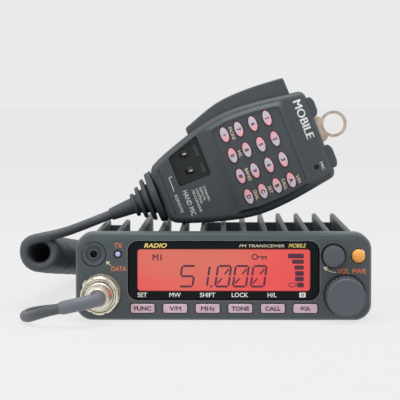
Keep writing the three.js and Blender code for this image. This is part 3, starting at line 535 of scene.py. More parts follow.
def letters(text, x, z, height, face, width=None, slant=0.0, turn=0.0, weight=0.0, wide=1.0):
    """Raised lettering centred on x and z, with its capitals this high, standing on a face."""
    data = bpy.data.curves.new("letters", "FONT")
    data.body, data.extrude = text, 0.05
    bold_by_copy = weight and "M" in text
    data.offset = 0 if bold_by_copy else weight
    data.align_x, data.shear = "CENTER", slant
    data.resolution_u = 3
    obj = bpy.data.objects.new("letters", data)
    bpy.context.collection.objects.link(obj)
    mesh = finished_mesh(obj)
    bpy.data.objects.remove(obj)
    bm = bmesh.new()
    bm.from_mesh(mesh)
    bpy.data.meshes.remove(mesh)
    low = Vector((min(v.co[i] for v in bm.verts) for i in range(3)))
    high = Vector((max(v.co[i] for v in bm.verts) for i in range(3)))
    size = high - low
    tall = height / size.y
    scale = Matrix.Diagonal((width / size.x if width else tall * wide, tall, LEAF * 2 / size.z, 1))
    stand = Matrix.Rotation(math.radians(turn), 4, "Y") @ Matrix.Rotation(math.radians(90), 4, "X")
    place = Matrix.Translation((x, face, z)) @ stand @ scale @ Matrix.Translation(-(low + high) / 2)
    bmesh.ops.remove_doubles(bm, verts=bm.verts[:], dist=1e-5)
    bmesh.ops.transform(bm, matrix=place, verts=bm.verts)
    if bold_by_copy:
        shift = (stand @ Vector((height * weight * 2, 0, 0))) + Vector((0, -0.01, 0))
        copy = bm.copy()
        bmesh.ops.translate(copy, vec=shift, verts=copy.verts)
        bm = merged([bm, copy])
    return bm


def stroke(points, thickness, face):
    """A raised line of one thickness through points, standing on a face."""
    parts = []
    for (x0, z0), (x1, z1) in zip(points, points[1:]):
        along = Vector((x1 - x0, z1 - z0))
        side = Vector((-along.y, along.x)).normalized() * thickness / 2
        ends = [(x0, z0, -1), (x1, z1, -1), (x1, z1, 1), (x0, z0, 1)]
        outline = [(x + side.x * s, z + side.y * s) for x, z, s in ends]
        parts.append(plate(outline, face - LEAF, face + LEAF))
    return merged(parts)


# ---- The curly cord ----

def smooth_line(points, step):
    """Points a step apart along the smooth curve through the given ones (centripetal)."""
    knots = [Vector(p) for p in points]
    ends = [knots[0] * 2 - knots[1], *knots, knots[-1] * 2 - knots[-2]]
    line = []
    for a, b, c, d in zip(ends, ends[1:], ends[2:], ends[3:]):
        gaps = [max((q - p).length ** 0.5, 1e-6) for p, q in ((a, b), (b, c), (c, d))]
        leave = (b - a) / gaps[0] - (c - a) / (gaps[0] + gaps[1]) + (c - b) / gaps[1]
        arrive = (c - b) / gaps[1] - (d - b) / (gaps[1] + gaps[2]) + (d - c) / gaps[2]
        leave, arrive = leave * gaps[1], arrive * gaps[1]
        count = max(1, round((c - b).length / step))
        for i in range(count):
            t = i / count
            bend = 2 * b - 2 * c + leave + arrive
            rise = 3 * c - 3 * b - 2 * leave - arrive
            line.append(b + leave * t + rise * t**2 + bend * t**3)
    return [*line, knots[-1]]


SLEEVE_LINE = [
    (-59, -108.3, 12.6), (-59, -113, 12.6), (-61.2, -117.2, 12.2), (-67.5, -120.2, 11),
    (-76, -119, 9),
]
LEAD_LINE = [
    (-76.6, -118.9, 8.85), (-80.6, -118.1, 7.9), (-86.6, -113.6, 5.8), (-91, -106.5, 3.9),
    (-93.8, -98, 2.9), (-95, -87, 2.6), (-93, -75, 2.6), (-87.5, -65, 2.6), (-80, -56.5, 2.6),
    (-73.5, -47, 2.6), (-70.2, -36, 2.6), (-69.3, -22, 2.6), (-69.3, 5, 2.6), (-69.3, 40, 2.6),
    (-69.3, 72, 2.6), (-69.3, 104, 2.6), (-69.3, 136, 2.6), (-69.3, 162, 2.6),
    (-69.7, 169.5, 2.6), (-72.3, 173, 2.7), (-75.9, 174.5, 2.8),
]
COIL_AXIS = [
    (-80, 174.2, 10.5), (-81, 154, 11.2), (-82.5, 130, 13.2), (-84.4, 100, 15.9),
    (-86.5, 66, 19), (-88.8, 30, 22.3), (-90.8, -2, 25.3), (-93.0, -35.6, 28.8),
]
TAIL_LINE = [
    (-99.8, -36.2, 32.7), (-96.8, -36.9, 35.2), (-92.3, -37, 36.4), (-86, -35.4, 37.6),
    (-79.8, -29, 39), (-74.5, -20.5, 40.6), (-69.3, -11.5, 42.3), (-63.6, -7.4, 44.4),
    (-58.85, -7, 46.28), (-56.2, -7, 47.3),
]


def coil_line():
    """The helix, from the end of the lead at the rear to the open front end."""
    per_turn = 24
    axis = smooth_line(COIL_AXIS, 1.0)
    runs = [0.0]
    for a, b in zip(axis, axis[1:]):
        runs.append(runs[-1] + (b - a).length)
    count = round(COIL_TURNS * per_turn)
    points, at = [], 0
    for i in range(count + 1):
        run = runs[-1] * i / count
        while at + 2 < len(runs) and runs[at + 1] < run:
            at += 1
        share = (run - runs[at]) / (runs[at + 1] - runs[at])
        centre = axis[at].lerp(axis[at + 1], share)
        ahead = (axis[min(at + 6, len(axis) - 1)] - axis[max(at - 5, 0)]).normalized()
        right = (Vector((1, 0, 0)) - ahead * ahead.x).normalized()
        up = ahead.cross(right)
        angle = math.radians(270) - math.tau * i / per_turn
        points.append(centre + COIL_RADIUS * (right * math.cos(angle) + up * math.sin(angle)))
    return points


def tube(line, radius, name, sides=3):
    """A round tube along a line, as a mesh in metres. The radius may be one for each point."""
    data = bpy.data.curves.new(name, "CURVE")
    data.dimensions = "3D"
    data.bevel_depth, data.bevel_resolution = MM, sides
    data.use_fill_caps = True
    spline = data.splines.new("POLY")
    spline.points.add(len(line) - 1)
    for i, (point, place) in enumerate(zip(spline.points, line)):
        point.co = (*(place * MM), 1)
        point.radius = radius[i] if isinstance(radius, list) else radius
    obj = bpy.data.objects.new(name, data)
    bpy.context.collection.objects.link(obj)
    mesh = finished_mesh(obj)
    bpy.data.objects.remove(obj)
    bm = bmesh.new()
    bm.from_mesh(mesh)
    bmesh.ops.remove_doubles(bm, verts=bm.verts[:], dist=1e-6)
    bmesh.ops.recalc_face_normals(bm, faces=bm.faces[:])
    for face in bm.faces:
        face.smooth = len(face.verts) == 4
    bm.to_mesh(mesh)
    bm.free()
    mesh.name = name
    made = bpy.data.objects.new(name, mesh)
    bpy.context.collection.objects.link(made)
    return made


def make_cord():
    """The whole cord, from the boot down the tail, through the coil and along the lead."""
    coil = coil_line()
    tail = smooth_line([coil[-1], *TAIL_LINE], 2.0)
    lead = smooth_line([*SLEEVE_LINE[2:-1], *LEAD_LINE, coil[0]], 2.5)
    line = [*reversed(tail), *reversed(coil[1:-1]), *reversed(lead)]
    cord = tube(line, CORD / 2, "curly_cord")
    cord.data.materials.append(CORD_GREY)
    path = [p * MM for p in line]  # its first points are inside the boot
    runs = [0.0]
    for a, b in zip(path, path[1:]):
        runs.append(runs[-1] + (b - a).length)
    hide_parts("cord_lead", "cord_coil", "cord_tail")
    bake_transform(cord)
    spread_over(cord, path, runs)
    return cord, path, runs[-1]


def spread_over(cord, path, runs):
    """Works out, for each point of the cord, a share of the microphone's lift from the boot to the
    middle of the coil; the share is used nowhere.
    """
    held, free = 0.02, 1.1  # metres from the boot: all of the lift up to here, none past there
    tree = kdtree.KDTree(len(path))
    for i, point in enumerate(path):
        tree.insert(point, i)
    tree.balance()
    for vertex in cord.data.vertices:
        run = runs[tree.find(vertex.co)[1]]
        share = min(max((free - run) / (free - held), 0.0), 1.0)
        share * share * (3 - 2 * share)


def make_sleeve():
    """The smooth sleeve that holds the cord behind the plug, with a rounded step at its end."""
    line = smooth_line(SLEEVE_LINE, 0.8)
    line = [Vector((-59, -106.5, 12.6)), *line]
    radii = [3.2] * len(line)
    radii[-1], radii[-2], radii[-3] = 2.7, 3.0, 3.15
    sleeve = tube(line, radii, "cord_sleeve", sides=5)
    sleeve.data.materials.append(SLEEVE_GREY)
    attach(sleeve, "root")
    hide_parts("plug_sleeve")
    return sleeve


PLUG_X, PLUG_Z = middle("plug_shell").x, middle("plug_shell").z
PLUG_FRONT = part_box("plug_shell")[0].y / MM


def make_plug_shell():
    """The turned shell of the plug: a cable nut, a cone and the body that the ring slides on."""
    y = PLUG_FRONT
    profile = [
        (y + 1.2, 3.4), (y + 0.1, 3.6), (y, 4.3), (y + 0.3, 4.7), (y + 3.4, 4.9), (y + 3.7, 4.6),
        (y + 4.2, 4.6), (y + 4.5, 5.1), (y + 7.5, 6.2), (y + 7.8, 6.6), (y + 10.8, 6.7),
        (y + 17.7, 6.7), (y + 17.7, 5.9), (y + 20, 5.9),
    ]
    shell = turned(profile, PLUG_X, PLUG_Z, 64)
    slots = [
        moved(block((-0.5, 0.5), (y + 8.6, y + 9.4), (6.2, 8)), PLUG_X, 0, PLUG_Z),
    ]
    return piece("plug_body", cut(shell, *slots), "root", NICKEL, "nickel_plate", ["plug_shell"])


def make_plug_ring():
    """The coupling ring: a stepped face, grip notches round its edge and two spanner flats."""
    low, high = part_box("plug_ring")
    front, back = low.y / MM, high.y / MM
    radius = (high.x - low.x) / 2 / MM
    profile = [
        (front + 1.4, 7.0), (front + 1.4, 7.6), (front + 0.5, 7.8), (front, 8.1),
        (front + 0.1, radius - 0.5), (front + 0.7, radius), (front + 2.6, radius),
        (front + 2.9, radius - 0.35), (front + 3.4, radius - 0.35), (front + 3.7, radius),
        (back - 0.4, radius), (back, radius - 0.4), (back, 7.6), (front + 6.6, 7.6),
        (front + 6.4, 7.0),
    ]
    ring = turned(profile, PLUG_X, PLUG_Z, 96, ring=True)
    notches = []
    for i in range(8):
        angle = (i / 8) * math.tau + 0.35
        x, z = PLUG_X + radius * math.cos(angle), PLUG_Z + radius * math.sin(angle)
        notches.append(rod(x, z, front - 1, front + 5, 1.5, 16))
    flats = [
        block((-12, 12), (front - 1, front + 2.2), (s * (radius - 0.45), s * 12)) for s in (-1, 1)
    ]
    for flat in flats:
        turn = Matrix.Translation((PLUG_X, 0, PLUG_Z)) @ Matrix.Rotation(math.radians(24), 4, "Y")
        bmesh.ops.transform(flat, matrix=turn, verts=flat.verts)
        bmesh.ops.recalc_face_normals(flat, faces=flat.faces[:])
    shape = cut(ring, *notches, *flats)
    return piece("coupling_ring", shape, "plug_ring", NICKEL, "nickel_plate", ["plug_ring"])


cord, cord_path, cord_length = make_cord()
plug_pieces = [make_sleeve(), make_plug_shell(), make_plug_ring()]

# ---- Case ----

FIN_HEIGHT = 12
FIN_COUNT = 13
FIN_THICK = 2.7
FIN_SPAN = WIDTH - 2 * 8.2
FIN_PITCH = (FIN_SPAN - FIN_THICK) / (FIN_COUNT - 1)
DECK = HEIGHT - FIN_HEIGHT
SHORT_END = CASE_FRONT + 97
CASE_WALL = 3
SIDE_SCREWS = (-30, 30)
SIDE_SCREW_HEIGHT = 15


def fin_x(i):
    return -FIN_SPAN / 2 + FIN_THICK / 2 + i * FIN_PITCH


def case_section():
    """The outline of the case: its walls, its deck and the round-topped fins with filleted feet."""
    shoulder, foot, radius = 2.0, 0.8, FIN_THICK / 2
    points = [(-CASE_HALF, CASE_FLOOR), (CASE_HALF, CASE_FLOOR), (CASE_HALF, DECK - shoulder)]
    points.append((CASE_HALF - shoulder, DECK))
    for i in reversed(range(FIN_COUNT)):
        x, top = fin_x(i), HEIGHT - radius
        points += [(x + radius + foot, DECK), (x + radius, DECK + foot)]
        arc = [math.pi * step / 12 for step in range(13)]
        points += [(x + radius * math.cos(a), top + radius * math.sin(a)) for a in arc]
        points += [(x - radius, DECK + foot), (x - radius - foot, DECK)]
    return [*points, (-CASE_HALF + shoulder, DECK), (-CASE_HALF, DECK - shoulder)]


def make_case():
    """The cast heat sink: an open box below, with fins on its deck."""
    body = plate(case_section(), CASE_FRONT, REAR)
    inside = block(
        (-CASE_HALF + CASE_WALL, CASE_HALF - CASE_WALL), (CASE_FRONT - 1, REAR - CASE_WALL),
        (0, DECK - CASE_WALL),
    )
    last = fin_x(1) + FIN_THICK / 2 + 1.2
    step = block((-CASE_HALF - 1, last), (SHORT_END, REAR + 1), (DECK, HEIGHT + 1))
    short_rib = block((fin_x(0), fin_x(1)), (SHORT_END - 3, SHORT_END), (DECK - 1, HEIGHT - 3), 0.4)
    ribs = (fin_x(5), fin_x(FIN_COUNT - 1))
    rear_rib = block(ribs, (REAR - 12, REAR - 9), (DECK - 1, HEIGHT - 4.5), 0.4)
    holes = []
    for y in SIDE_SCREWS:
        hole = rod(0, 0, -CASE_HALF - 1, CASE_HALF + 1, 3.4, 24)
        turn = Matrix.Translation((0, y, SIDE_SCREW_HEIGHT)) @ Matrix.Rotation(math.radians(90), 4, "Z")
        bmesh.ops.transform(hole, matrix=turn, verts=hole.verts)
        holes.append(hole)
    sockets = [
        rod(middle("antenna_socket").x, middle("antenna_socket").z, REAR - 6, REAR + 1, 12.6),
        block((-47, -29), (REAR - 6, REAR + 1), (11, 21)),
        rod(middle("speaker_jack").x, middle("speaker_jack").z, REAR - 6, REAR + 1, 6.6),
    ]
    shape = add(cut(body, inside, step, *holes, *sockets), short_rib, rear_rib)
    piece("heat_sink_case", shape, "root", PAINT, "case_paint", ["chassis"], soften=0.35)


def screw_head(diameter, height):
    """A pan-head screw that faces the front, with a cross recess, its seat at y 0."""
    r = diameter / 2
    head = turned(
        [(-height, r * 0.35), (-height * 0.92, r * 0.7), (-height * 0.5, r * 0.95), (0, r)],
        steps=32,
    )
    arm, half = r * 0.62, r * 0.13
    cross = [
        block((-arm, arm), (-height - 1, -height * 0.35), (-half, half)),
        block((-half, half), (-height - 1, -height * 0.35), (-arm, arm)),
    ]
    return cut(head, *cross)


def placed(bm, x, y, z, turn, axis):
    place = Matrix.Translation((x, y, z)) @ Matrix.Rotation(math.radians(turn), 4, axis)
    bmesh.ops.transform(bm, matrix=place, verts=bm.verts)
    return bm


def make_cover_screws():
    """Four screws that hold the flat cover."""
    x = CASE_HALF - 6
    heads = []
    for side in (-1, 1):
        for y in (CASE_FRONT + 12, REAR - 12):
            heads.append(placed(screw_head(5.2, 0.9), side * x, y, 0.95, 90, "X"))
    piece("cover_screws", heads, "root", SCREW, "nickel_plate")


make_case()
make_cover_screws()

# ---- Front panel ----

VOLUME = middle("volume_knob")
TUNING = middle("tuning_knob")
POWER = middle("power_button")
LAMP = middle("tx_lamp")
DATA = middle("data_jack")
SOCKET = middle("mic_socket")

PANEL_WALL = 2.2
PANEL_FACE = 3.5
PANEL_EDGE = 3.0
PANEL_CORNER = 8


def make_panel():
    """The front moulding: a rounded block with a sloping rim, hollow behind, with its openings."""
    body = plate(
        rectangle(0, HEIGHT / 2, WIDTH, HEIGHT), FRONT, PANEL_BACK,
        PANEL_CORNER, PANEL_EDGE, 2, 10,
    )
    hollow = plate(
        rectangle(0, HEIGHT / 2, WIDTH - 2 * PANEL_WALL, HEIGHT - 2 * PANEL_WALL),
        FRONT + PANEL_FACE, PANEL_BACK + 1, PANEL_CORNER - PANEL_WALL,
    )
    w = WINDOW
    opening = rectangle(w["x"], w["z"], w["width"] + 0.6, w["height"] + 0.6)
    through = (FRONT - 4, FRONT + 4)
    tools = [
        hollow,
        plate(opening, *through, w["corner"] + 0.3),
        rod(VOLUME.x, VOLUME.z, *through, 12.0, 48),
        rod(TUNING.x, TUNING.z, FRONT - 4, FRONT + 1.4, 20.6, 64),
        rod(TUNING.x, TUNING.z, *through, 6, 24),
        rod(POWER.x, POWER.z, *through, 7.2, 32),
        rod(LAMP.x, LAMP.z, *through, 4.1, 24),
        rod(DATA.x, DATA.z, *through, 12.1, 48),
        rod(SOCKET.x, SOCKET.z, *through, 19.8, 64),
    ]
    for i in range(6):
        x = middle(f"function_key_{i + 1}").x
        hole = rectangle(x, KEY["z"], KEY["width"] + 0.7, KEY["height"] + 0.7)
        tools.append(plate(hole, *through, 1.2))
    piece(
        "front_moulding", cut(body, *tools), "root", PANEL, "panel_plastic", ["front_panel"],
        soften=0.22,
    )


def make_window():
    """The dark window round the display, with a fine pale rim line that is a painted highlight on the
    frame's edge.
    """
    w, g = WINDOW, GLASS
    frame_plate = plate(
        rectangle(w["x"], w["z"], w["width"], w["height"]), WINDOW_FACE, WINDOW_FACE + 1.8,
        w["corner"], 0.5, 3,
    )
    view = rectangle(g["x"], g["z"], g["width"] + 0.4, g["height"] + 0.4)
    shape = cut(frame_plate, plate(view, WINDOW_FACE - 1, WINDOW_FACE + 3, 1.6))
    piece("window_frame", shape, "root", WINDOW_BLACK, "window_plastic", ["display_window"])
    # A pale grey ring round the window: a painted highlight standing for light on the frame's bevelled
    # edge.
    outer = plate(
        rectangle(w["x"], w["z"], w["width"] + 1.5, w["height"] + 1.5), FRONT - 0.1, FRONT + 0.3,
        w["corner"] + 0.75,
    )
    inner = plate(
        rectangle(w["x"], w["z"], w["width"] + 0.7, w["height"] + 0.7), FRONT - 1, FRONT + 1,
        w["corner"] + 0.35,
    )
    piece("window_highlight_rim", cut(outer, inner), "root", RIM_HIGHLIGHT, "panel_plastic")


def make_display():
    """The lit glass, rounded at its corners, with a light box behind it."""
    g = GLASS
    face = plate(
        rectangle(g["x"], g["z"], g["width"], g["height"]), GLASS_FACE, GLASS_FACE + 1.6, 1.4, 0.2, 2,
    )
    low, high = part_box("lcd_panel")
    box = block(
        (low.x / MM, high.x / MM), (GLASS_FACE + 1.8, high.y / MM), (low.z / MM, high.z / MM), 0.4,
    )
    piece("display_glass", [face, box], "root", DISPLAY, "lcd_face", ["lcd_panel"])


DIGIT_LOW, DIGIT_HIGH = 15.95, 26.6
DIGIT_WIDTH = 6.3
SEGMENT_WIDTH = 0.95
DIGIT_SLANT = math.tan(math.radians(8))
BARS_OF = {"5": "afgcd", "1": "bc", "0": "abcdefxy"}


def digit(sign, x):
    """The bars of one figure of the display, whose bars are lettered round from the top."""
    w, middle_z = DIGIT_WIDTH / 2, (DIGIT_LOW + DIGIT_HIGH) / 2
    low, high, gap = DIGIT_LOW + 0.4, DIGIT_HIGH - 0.4, 0.35
    ends = {
        "a": ((-w + gap, high), (w - gap, high)), "b": ((w, high - gap), (w, middle_z + gap)),
        "c": ((w, middle_z - gap), (w, low + gap)), "d": ((-w + gap, low), (w - gap, low)),
        "e": ((-w, middle_z - gap), (-w, low + gap)), "f": ((-w, high - gap), (-w, middle_z + gap)),
        "g": ((-w + gap, middle_z), (w - gap, middle_z)),
        "x": ((0.5, middle_z + 1), (w - 0.9, high - 1.4)),
        "y": ((-w + 0.9, low + 1.4), (-0.5, middle_z - 1)),
    }
    parts = []
    for bar in BARS_OF[sign]:
        line = [(x + px + (pz - middle_z) * DIGIT_SLANT, pz) for px, pz in ends[bar]]
        parts.append(stroke(line, SEGMENT_WIDTH * (0.75 if bar in "xy" else 1), GLASS_FACE))
    return merged(parts)


def make_display_marks():
    """The frequency in figures, a key sign, a channel sign and a column of bars."""
    face = GLASS_FACE
    parts = [digit(sign, x) for sign, x in zip("51000", (-17.3, -10.4, -0.1, 8.35, 16.9))]
    parts.append(oval(-5.9, DIGIT_LOW + 0.5, 1.1, 1.1, face - LEAF, face + LEAF, sides=12))
    parts.append(letters("M1", -31.9, 30.3, 3.0, face, wide=0.95, weight=0.03))
    key = turned([(0, 1.5), (LEAF, 1.5), (LEAF, 0.95), (0, 0.95)], 15.0, 30.6, 24, ring=True)
    parts.append(moved(key, 0, face - LEAF, 0))
    parts.append(stroke([(16.4, 30.6), (20.9, 30.6)], 0.55, face))
    for x in (18.8, 20.4):
        parts.append(stroke([(x, 30.5), (x, 29.2)], 0.55, face))
    right = 38.5
    bars = [
        (29.9, 32.2, 30.9), (27.3, 29.3, 32.9), (24.5, 26.5, 34.0), (21.5, 23.8, 34.3),
        (18.85, 21.1, 34.3),
    ]
    for low, high, left in bars:
        shape = rectangle((left + right) / 2, (low + high) / 2, right - left, high - low)
        parts.append(plate(shape, face - LEAF, face + LEAF, 0.5))
    parts.append(plate(rectangle(36.9, 17.1, 3.2, 2.3), face - LEAF, face + LEAF, 0.5))
    piece("display_figures", parts, "root", SEGMENT, "window_plastic")
    ring = oval(33.0, 17.1, 4.2, 2.3, face - LEAF, face + LEAF)
    hole = oval(33.0, 17.1, 3.2, 1.3, face - 1, face + 1)
    piece("display_low_bar", cut(ring, hole), "root", FAINT_SEGMENT, "window_plastic")


def make_window_marks():
    """White key names below the display and generic words above it."""
    face = WINDOW_FACE
    names = {"SET": -38.9, "MW": -23.2, "SHIFT": -7.6, "LOCK": 7.9, "H/L": 23.3}
    parts = [letters(word, x, 12.3, 2.15, face, weight=0.012) for word, x in names.items()]
    card = plate(rectangle(37.9, 12.3, 3.0, 2.3), face - LEAF, face + LEAF, 0.3)
    hole = oval(37.9, 12.3, 1.5, 1.5, face - 1, face + 1, sides=20)
    parts.append(cut(card, hole))
    parts.append(oval(37.9, 12.3, 0.8, 0.8, face - LEAF, face + LEAF, sides=12))
    piece("window_key_names", parts, "root", WHITE_INK, "window_plastic")
    title = letters("RADIO", -32.6, 36.05, 2.2, face, 11.0, 0.25, 0, 0.03)
    tag = letters("MOBILE", 35.4, 36.05, 1.9, face, 8.4, 0.25, 0, 0.015)
    piece("window_title", [title, tag], "root", GOLD_INK, "window_plastic")
    line = letters("FM TRANSCEIVER", 18.3, 35.9, 1.35, face, 21.5, 0.2, 0, 0.02)
    piece("window_subtitle", line, "root", CREAM_INK, "window_plastic")


def make_panel_marks():
    """Orange names for the knobs, lamp and jack, and small arrows to the knob and jack."""
    parts = [
        letters("VOL", 57.4, 23.75, 2.5, FRONT, 5.8, weight=0.01),
        letters("PWR", 65.1, 23.75, 2.5, FRONT, 6.6, weight=0.01),
        letters("TX", -50.4, 36.0, 2.3, FRONT, 3.8, weight=0.01),
        letters("DATA", -50.1, 24.9, 2.2, FRONT, 7.2, weight=0.01),
    ]
    piece("panel_names", parts, "root", ORANGE_INK, "panel_plastic")
    sweep = [(54.0, 23.3), (52.4, 23.3), (50.9, 23.8), (49.4, 24.7)]
    arrows = [stroke(sweep, 0.35, FRONT), stroke([(-54.0, 26.4), (-55.0, 27.4)], 0.4, FRONT)]
    heads = [[(49.9, 25.9), (47.6, 25.7), (49.2, 23.9)], [(-54.3, 28.2), (-56.2, 28.5), (-55.9, 26.7)]]
    arrows += [plate(head, FRONT - LEAF, FRONT + LEAF) for head in heads]
    piece("panel_arrows", arrows, "root", CREAM_INK, "panel_plastic")


def make_function_keys():
    """Six lilac key caps, each with its dark name."""
    for i, word in enumerate(("FUNC", "V/M", "MHz", "TONE", "CALL", "SQL")):
        node = f"function_key_{i + 1}"
        x = middle(node).x
        face = KEY["face"]
        cap = plate(
            rectangle(x, KEY["z"], KEY["width"], KEY["height"]), face, FRONT + 3.7, 0.9, 0.45, 4, 6,
        )
        piece(f"{node}_cap", cap, node, LILAC, "key_plastic", [node])
        name = letters(word, x, KEY["z"], 2.15, face, weight=0.035, wide=1.12)
        piece(f"{node}_name", name, node, DARK_INK, "key_plastic")


def make_volume_knob():
    """The small knob, with fine grip flutes and a dished face."""
    low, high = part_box("volume_knob")
    front, radius = low.y / MM, across("volume_knob").x / 2
    grip = fluted(radius, 0.22, 28, front + 0.5, FRONT + 2.3, 0.0)
    cap = turned(
        [
            (front + 0.12, 2.0), (front, 3.6), (front + 0.06, radius - 0.75),
            (front + 0.3, radius - 0.25), (front + 0.9, radius - 0.12),
        ],
        steps=64,
    )
    shaft = rod(0, 0, FRONT + 2, high.y / MM, 4, 24)
    parts = [moved(part, VOLUME.x, 0, VOLUME.z) for part in (add(grip, cap), shaft)]
    piece("volume_knob_cap", parts, "volume_knob", KNOB, "knob_plastic", ["volume_knob"])


def make_tuning_knob():
    """The large knob: a plain dished face and grip flutes down its side."""
    low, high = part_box("tuning_knob")
    front, radius = low.y / MM, across("tuning_knob").x / 2
    grip = fluted(radius, 0.5, 30, front + 1.6, FRONT + 0.8, 0.35, 2)
    face = turned(
        [
            (front + 0.35, 3.0), (front + 0.25, 6.5), (front + 0.05, 7.9), (front, 8.2),
            (front + 0.12, 8.55), (front + 0.5, radius - 0.55), (front + 2.2, radius - 0.5),
        ],
        steps=96,
    )
    shaft = rod(0, 0, FRONT, high.y / MM, 4, 24)
    parts = [moved(part, TUNING.x, 0, TUNING.z) for part in (add(grip, face), shaft)]
    piece("tuning_knob_cap", parts, "tuning_knob", KNOB, "knob_plastic", ["tuning_knob"])


def make_power_button():
    """The domed amber button."""
    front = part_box("power_button")[0].y / MM
    dome = [
        (front, 0.8), (front + 0.1, 1.7), (front + 0.35, 2.5), (front + 0.8, 3.1),
        (front + 1.3, 3.3), (FRONT + 5, 3.3),
    ]
    button = turned(dome, POWER.x, POWER.z)
    piece(
        "power_button_cap", button, "power_button", AMBER, "power_plastic", ["power_button"],
    )


def make_lamp():
    """The lamp's small lens in a black collar."""
    y = FRONT
    lens = turned(
        [(y - 0.1, 0.4), (y, 0.9), (y + 0.35, 1.3), (y + 3, 1.3)], LAMP.x, LAMP.z, 32,
    )
    piece("lamp_lens", lens, "root", LENS, "lamp_lens", ["tx_lamp"])
    collar = turned(
        [(y + 0.3, 1.4), (y + 0.1, 1.5), (y + 0.1, 1.75), (y + 4.5, 1.75), (y + 4.5, 1.4)],
        LAMP.x, LAMP.z, 32, ring=True,
    )
    piece("lamp_collar", collar, "root", BLACK, "black_plastic")


def make_data_jack():
    """The data jack, with stepped rings round its bore."""
    y = FRONT
    rings = [
        (y + 7.5, 1.8), (y + 1.1, 1.8), (y + 0.75, 2.0), (y + 0.7, 2.6), (y + 1.2, 2.8),
        (y + 1.2, 3.5), (y + 0.55, 3.8), (y + 0.45, 4.3), (y + 0.2, 4.8), (y + 0.15, 5.5),
        (y + 0.3, 5.75), (y + 9.5, 5.75), (y + 9.5, 1.8),
    ]
    jack = turned(rings, DATA.x, DATA.z, 64, ring=True)
    piece("data_jack_body", jack, "root", PANEL, "black_plastic", ["data_jack"])
    collar = turned(
        [(y + 0.35, 1.85), (y + 0.35, 2.4), (y + 1.0, 2.4), (y + 1.0, 1.85)],
        DATA.x, DATA.z, 48, ring=True,
    )
    piece("data_jack_collar", collar, "root", KNOB, "black_plastic")


make_panel()
make_window()
make_display()
make_display_marks()
make_window_marks()
make_panel_marks()
make_function_keys()
make_volume_knob()
make_tuning_knob()
make_power_button()
make_lamp()
make_data_jack()

# ---- Rear sockets ----

def make_antenna_socket():
    """The threaded antenna socket on its square flange, with four screws and an insulator."""
    a, y = middle("antenna_socket"), REAR + 0.3
    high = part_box("antenna_socket")[1].y / MM
    half = across("antenna_socket").x / 2
    flange = plate(rectangle(a.x, a.z, 2 * half, 2 * half), y, y + 1.6, 2.5, 0, 2, 4, 0.3)
    thread = []
    turns = 14
    for i in range(turns):
        start = y + 1.8 + i * (high - y - 3.4) / turns
        thread += [(start, 7.25), (start + 0.45, 7.9)]
    barrel = turned(
        [
            (REAR - 5, 2.0), (REAR - 5, 6), (y + 1, 6), (y + 1, 7.25), *thread,
            (high - 1.2, 7.25), (high, 6.9), (high, 5.9), (high - 3, 5.8), (high - 3, 2.0),
        ],
        a.x, a.z, 64, ring=True,
    )
    socket = add(flange, barrel)
    piece("antenna_socket_body", socket, "root", NICKEL, "nickel_plate", ["antenna_socket"])
    insulator = turned(
        [
            (high - 12, 1.1), (high - 12, 1.9), (high - 3.2, 1.9), (high - 3.2, 5.6),
            (high - 2.4, 5.6), (high - 2.2, 1.1),
        ],
        a.x, a.z, 40, ring=True,
    )
    piece("antenna_insulator", insulator, "root", WHITE_PLASTIC, "black_plastic")
    heads = []
    reach = half - 3.4
    for x in (a.x - reach, a.x + reach):
        for z in (a.z - reach, a.z + reach):
            heads.append(placed(screw_head(4.4, 0.9), x, y + 1.6, z, 180, "Z"))
    piece("antenna_screws", heads, "root", NICKEL, "nickel_plate")


def make_speaker_jack():
    """The jack for an outside speaker, with its six-sided nut."""
    j, y = middle("speaker_jack"), REAR + 0.3
    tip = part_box("speaker_jack")[1].y / MM
    nut = oval(j.x, j.z, 9, 9, y, y + 2, 0, 2, 6)
    nut = cut(nut, rod(j.x, j.z, REAR - 2, REAR + 6, 6.1, 32))
    sleeve = turned(
        [
            (REAR - 7, 1.75), (REAR - 7, 2.9), (y + 1, 3.0), (tip - 0.3, 3.0), (tip, 2.7),
            (tip, 1.75),
        ],
        j.x, j.z, 40, ring=True,
    )
    piece(
        "speaker_jack_body", [nut, sleeve], "root", NICKEL, "nickel_plate", ["speaker_jack"],
    )


def make_power_inlet():
    """The inlet for the power plug: a black shroud round two flat pins."""
    n, size = middle("dc_inlet"), across("dc_inlet")
    y, end = REAR + 0.3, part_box("dc_inlet")[1].y / MM
    body = plate(rectangle(n.x, n.z, size.x, size.z), y, end, 1.5, 0, 2, 4, 0.4)
    cavity = plate(rectangle(n.x, n.z, size.x - 6, size.z - 5.4), REAR - 2, end + 1, 0.6)
    neck = block((n.x - 8.7, n.x + 8.7), (REAR - 5, y + 1), (n.z - 4.7, n.z + 4.7))
    shape = cut(add(body, neck), cavity)
    piece("power_inlet_body", shape, "root", BLACK, "black_plastic", ["dc_inlet"])
    pins = [
        block((x - 1.2, x + 1.2), (REAR - 3, REAR + 1.4), (n.z - 0.4, n.z + 0.4), 0.15)
        for x in (n.x - 4, n.x + 4)
    ]
    piece("power_inlet_pins", pins, "root", NICKEL, "nickel_plate")


make_antenna_socket()
make_speaker_jack()
make_power_inlet()

# ---- Microphone: x is u, towards its hanger ring, and z is v, towards its talk bar ----

def side_at(u):
    """How far out the side of the microphone lies at this u."""
    for (u0, v0), (u1, v1) in zip(MIC_OUTLINE, MIC_OUTLINE[1:]):
        if u1 <= u <= u0:
            return v0 + (v1 - v0) * (u - u0) / (u1 - u0)
    return MIC_OUTLINE[0][1]


def smooth_side(stations):
    """A smooth curve through stations of an outline, with a point about every 3 mm."""
    return [(p.x, p.y) for p in smooth_line([(u, v, 0) for u, v in stations], 3.0)]


def mirrored(stations):
    """An outline from its upper half, drawn anticlockwise."""
    lower = [(u, -v) for u, v in stations]
    return [*reversed(lower), *stations][::-1]


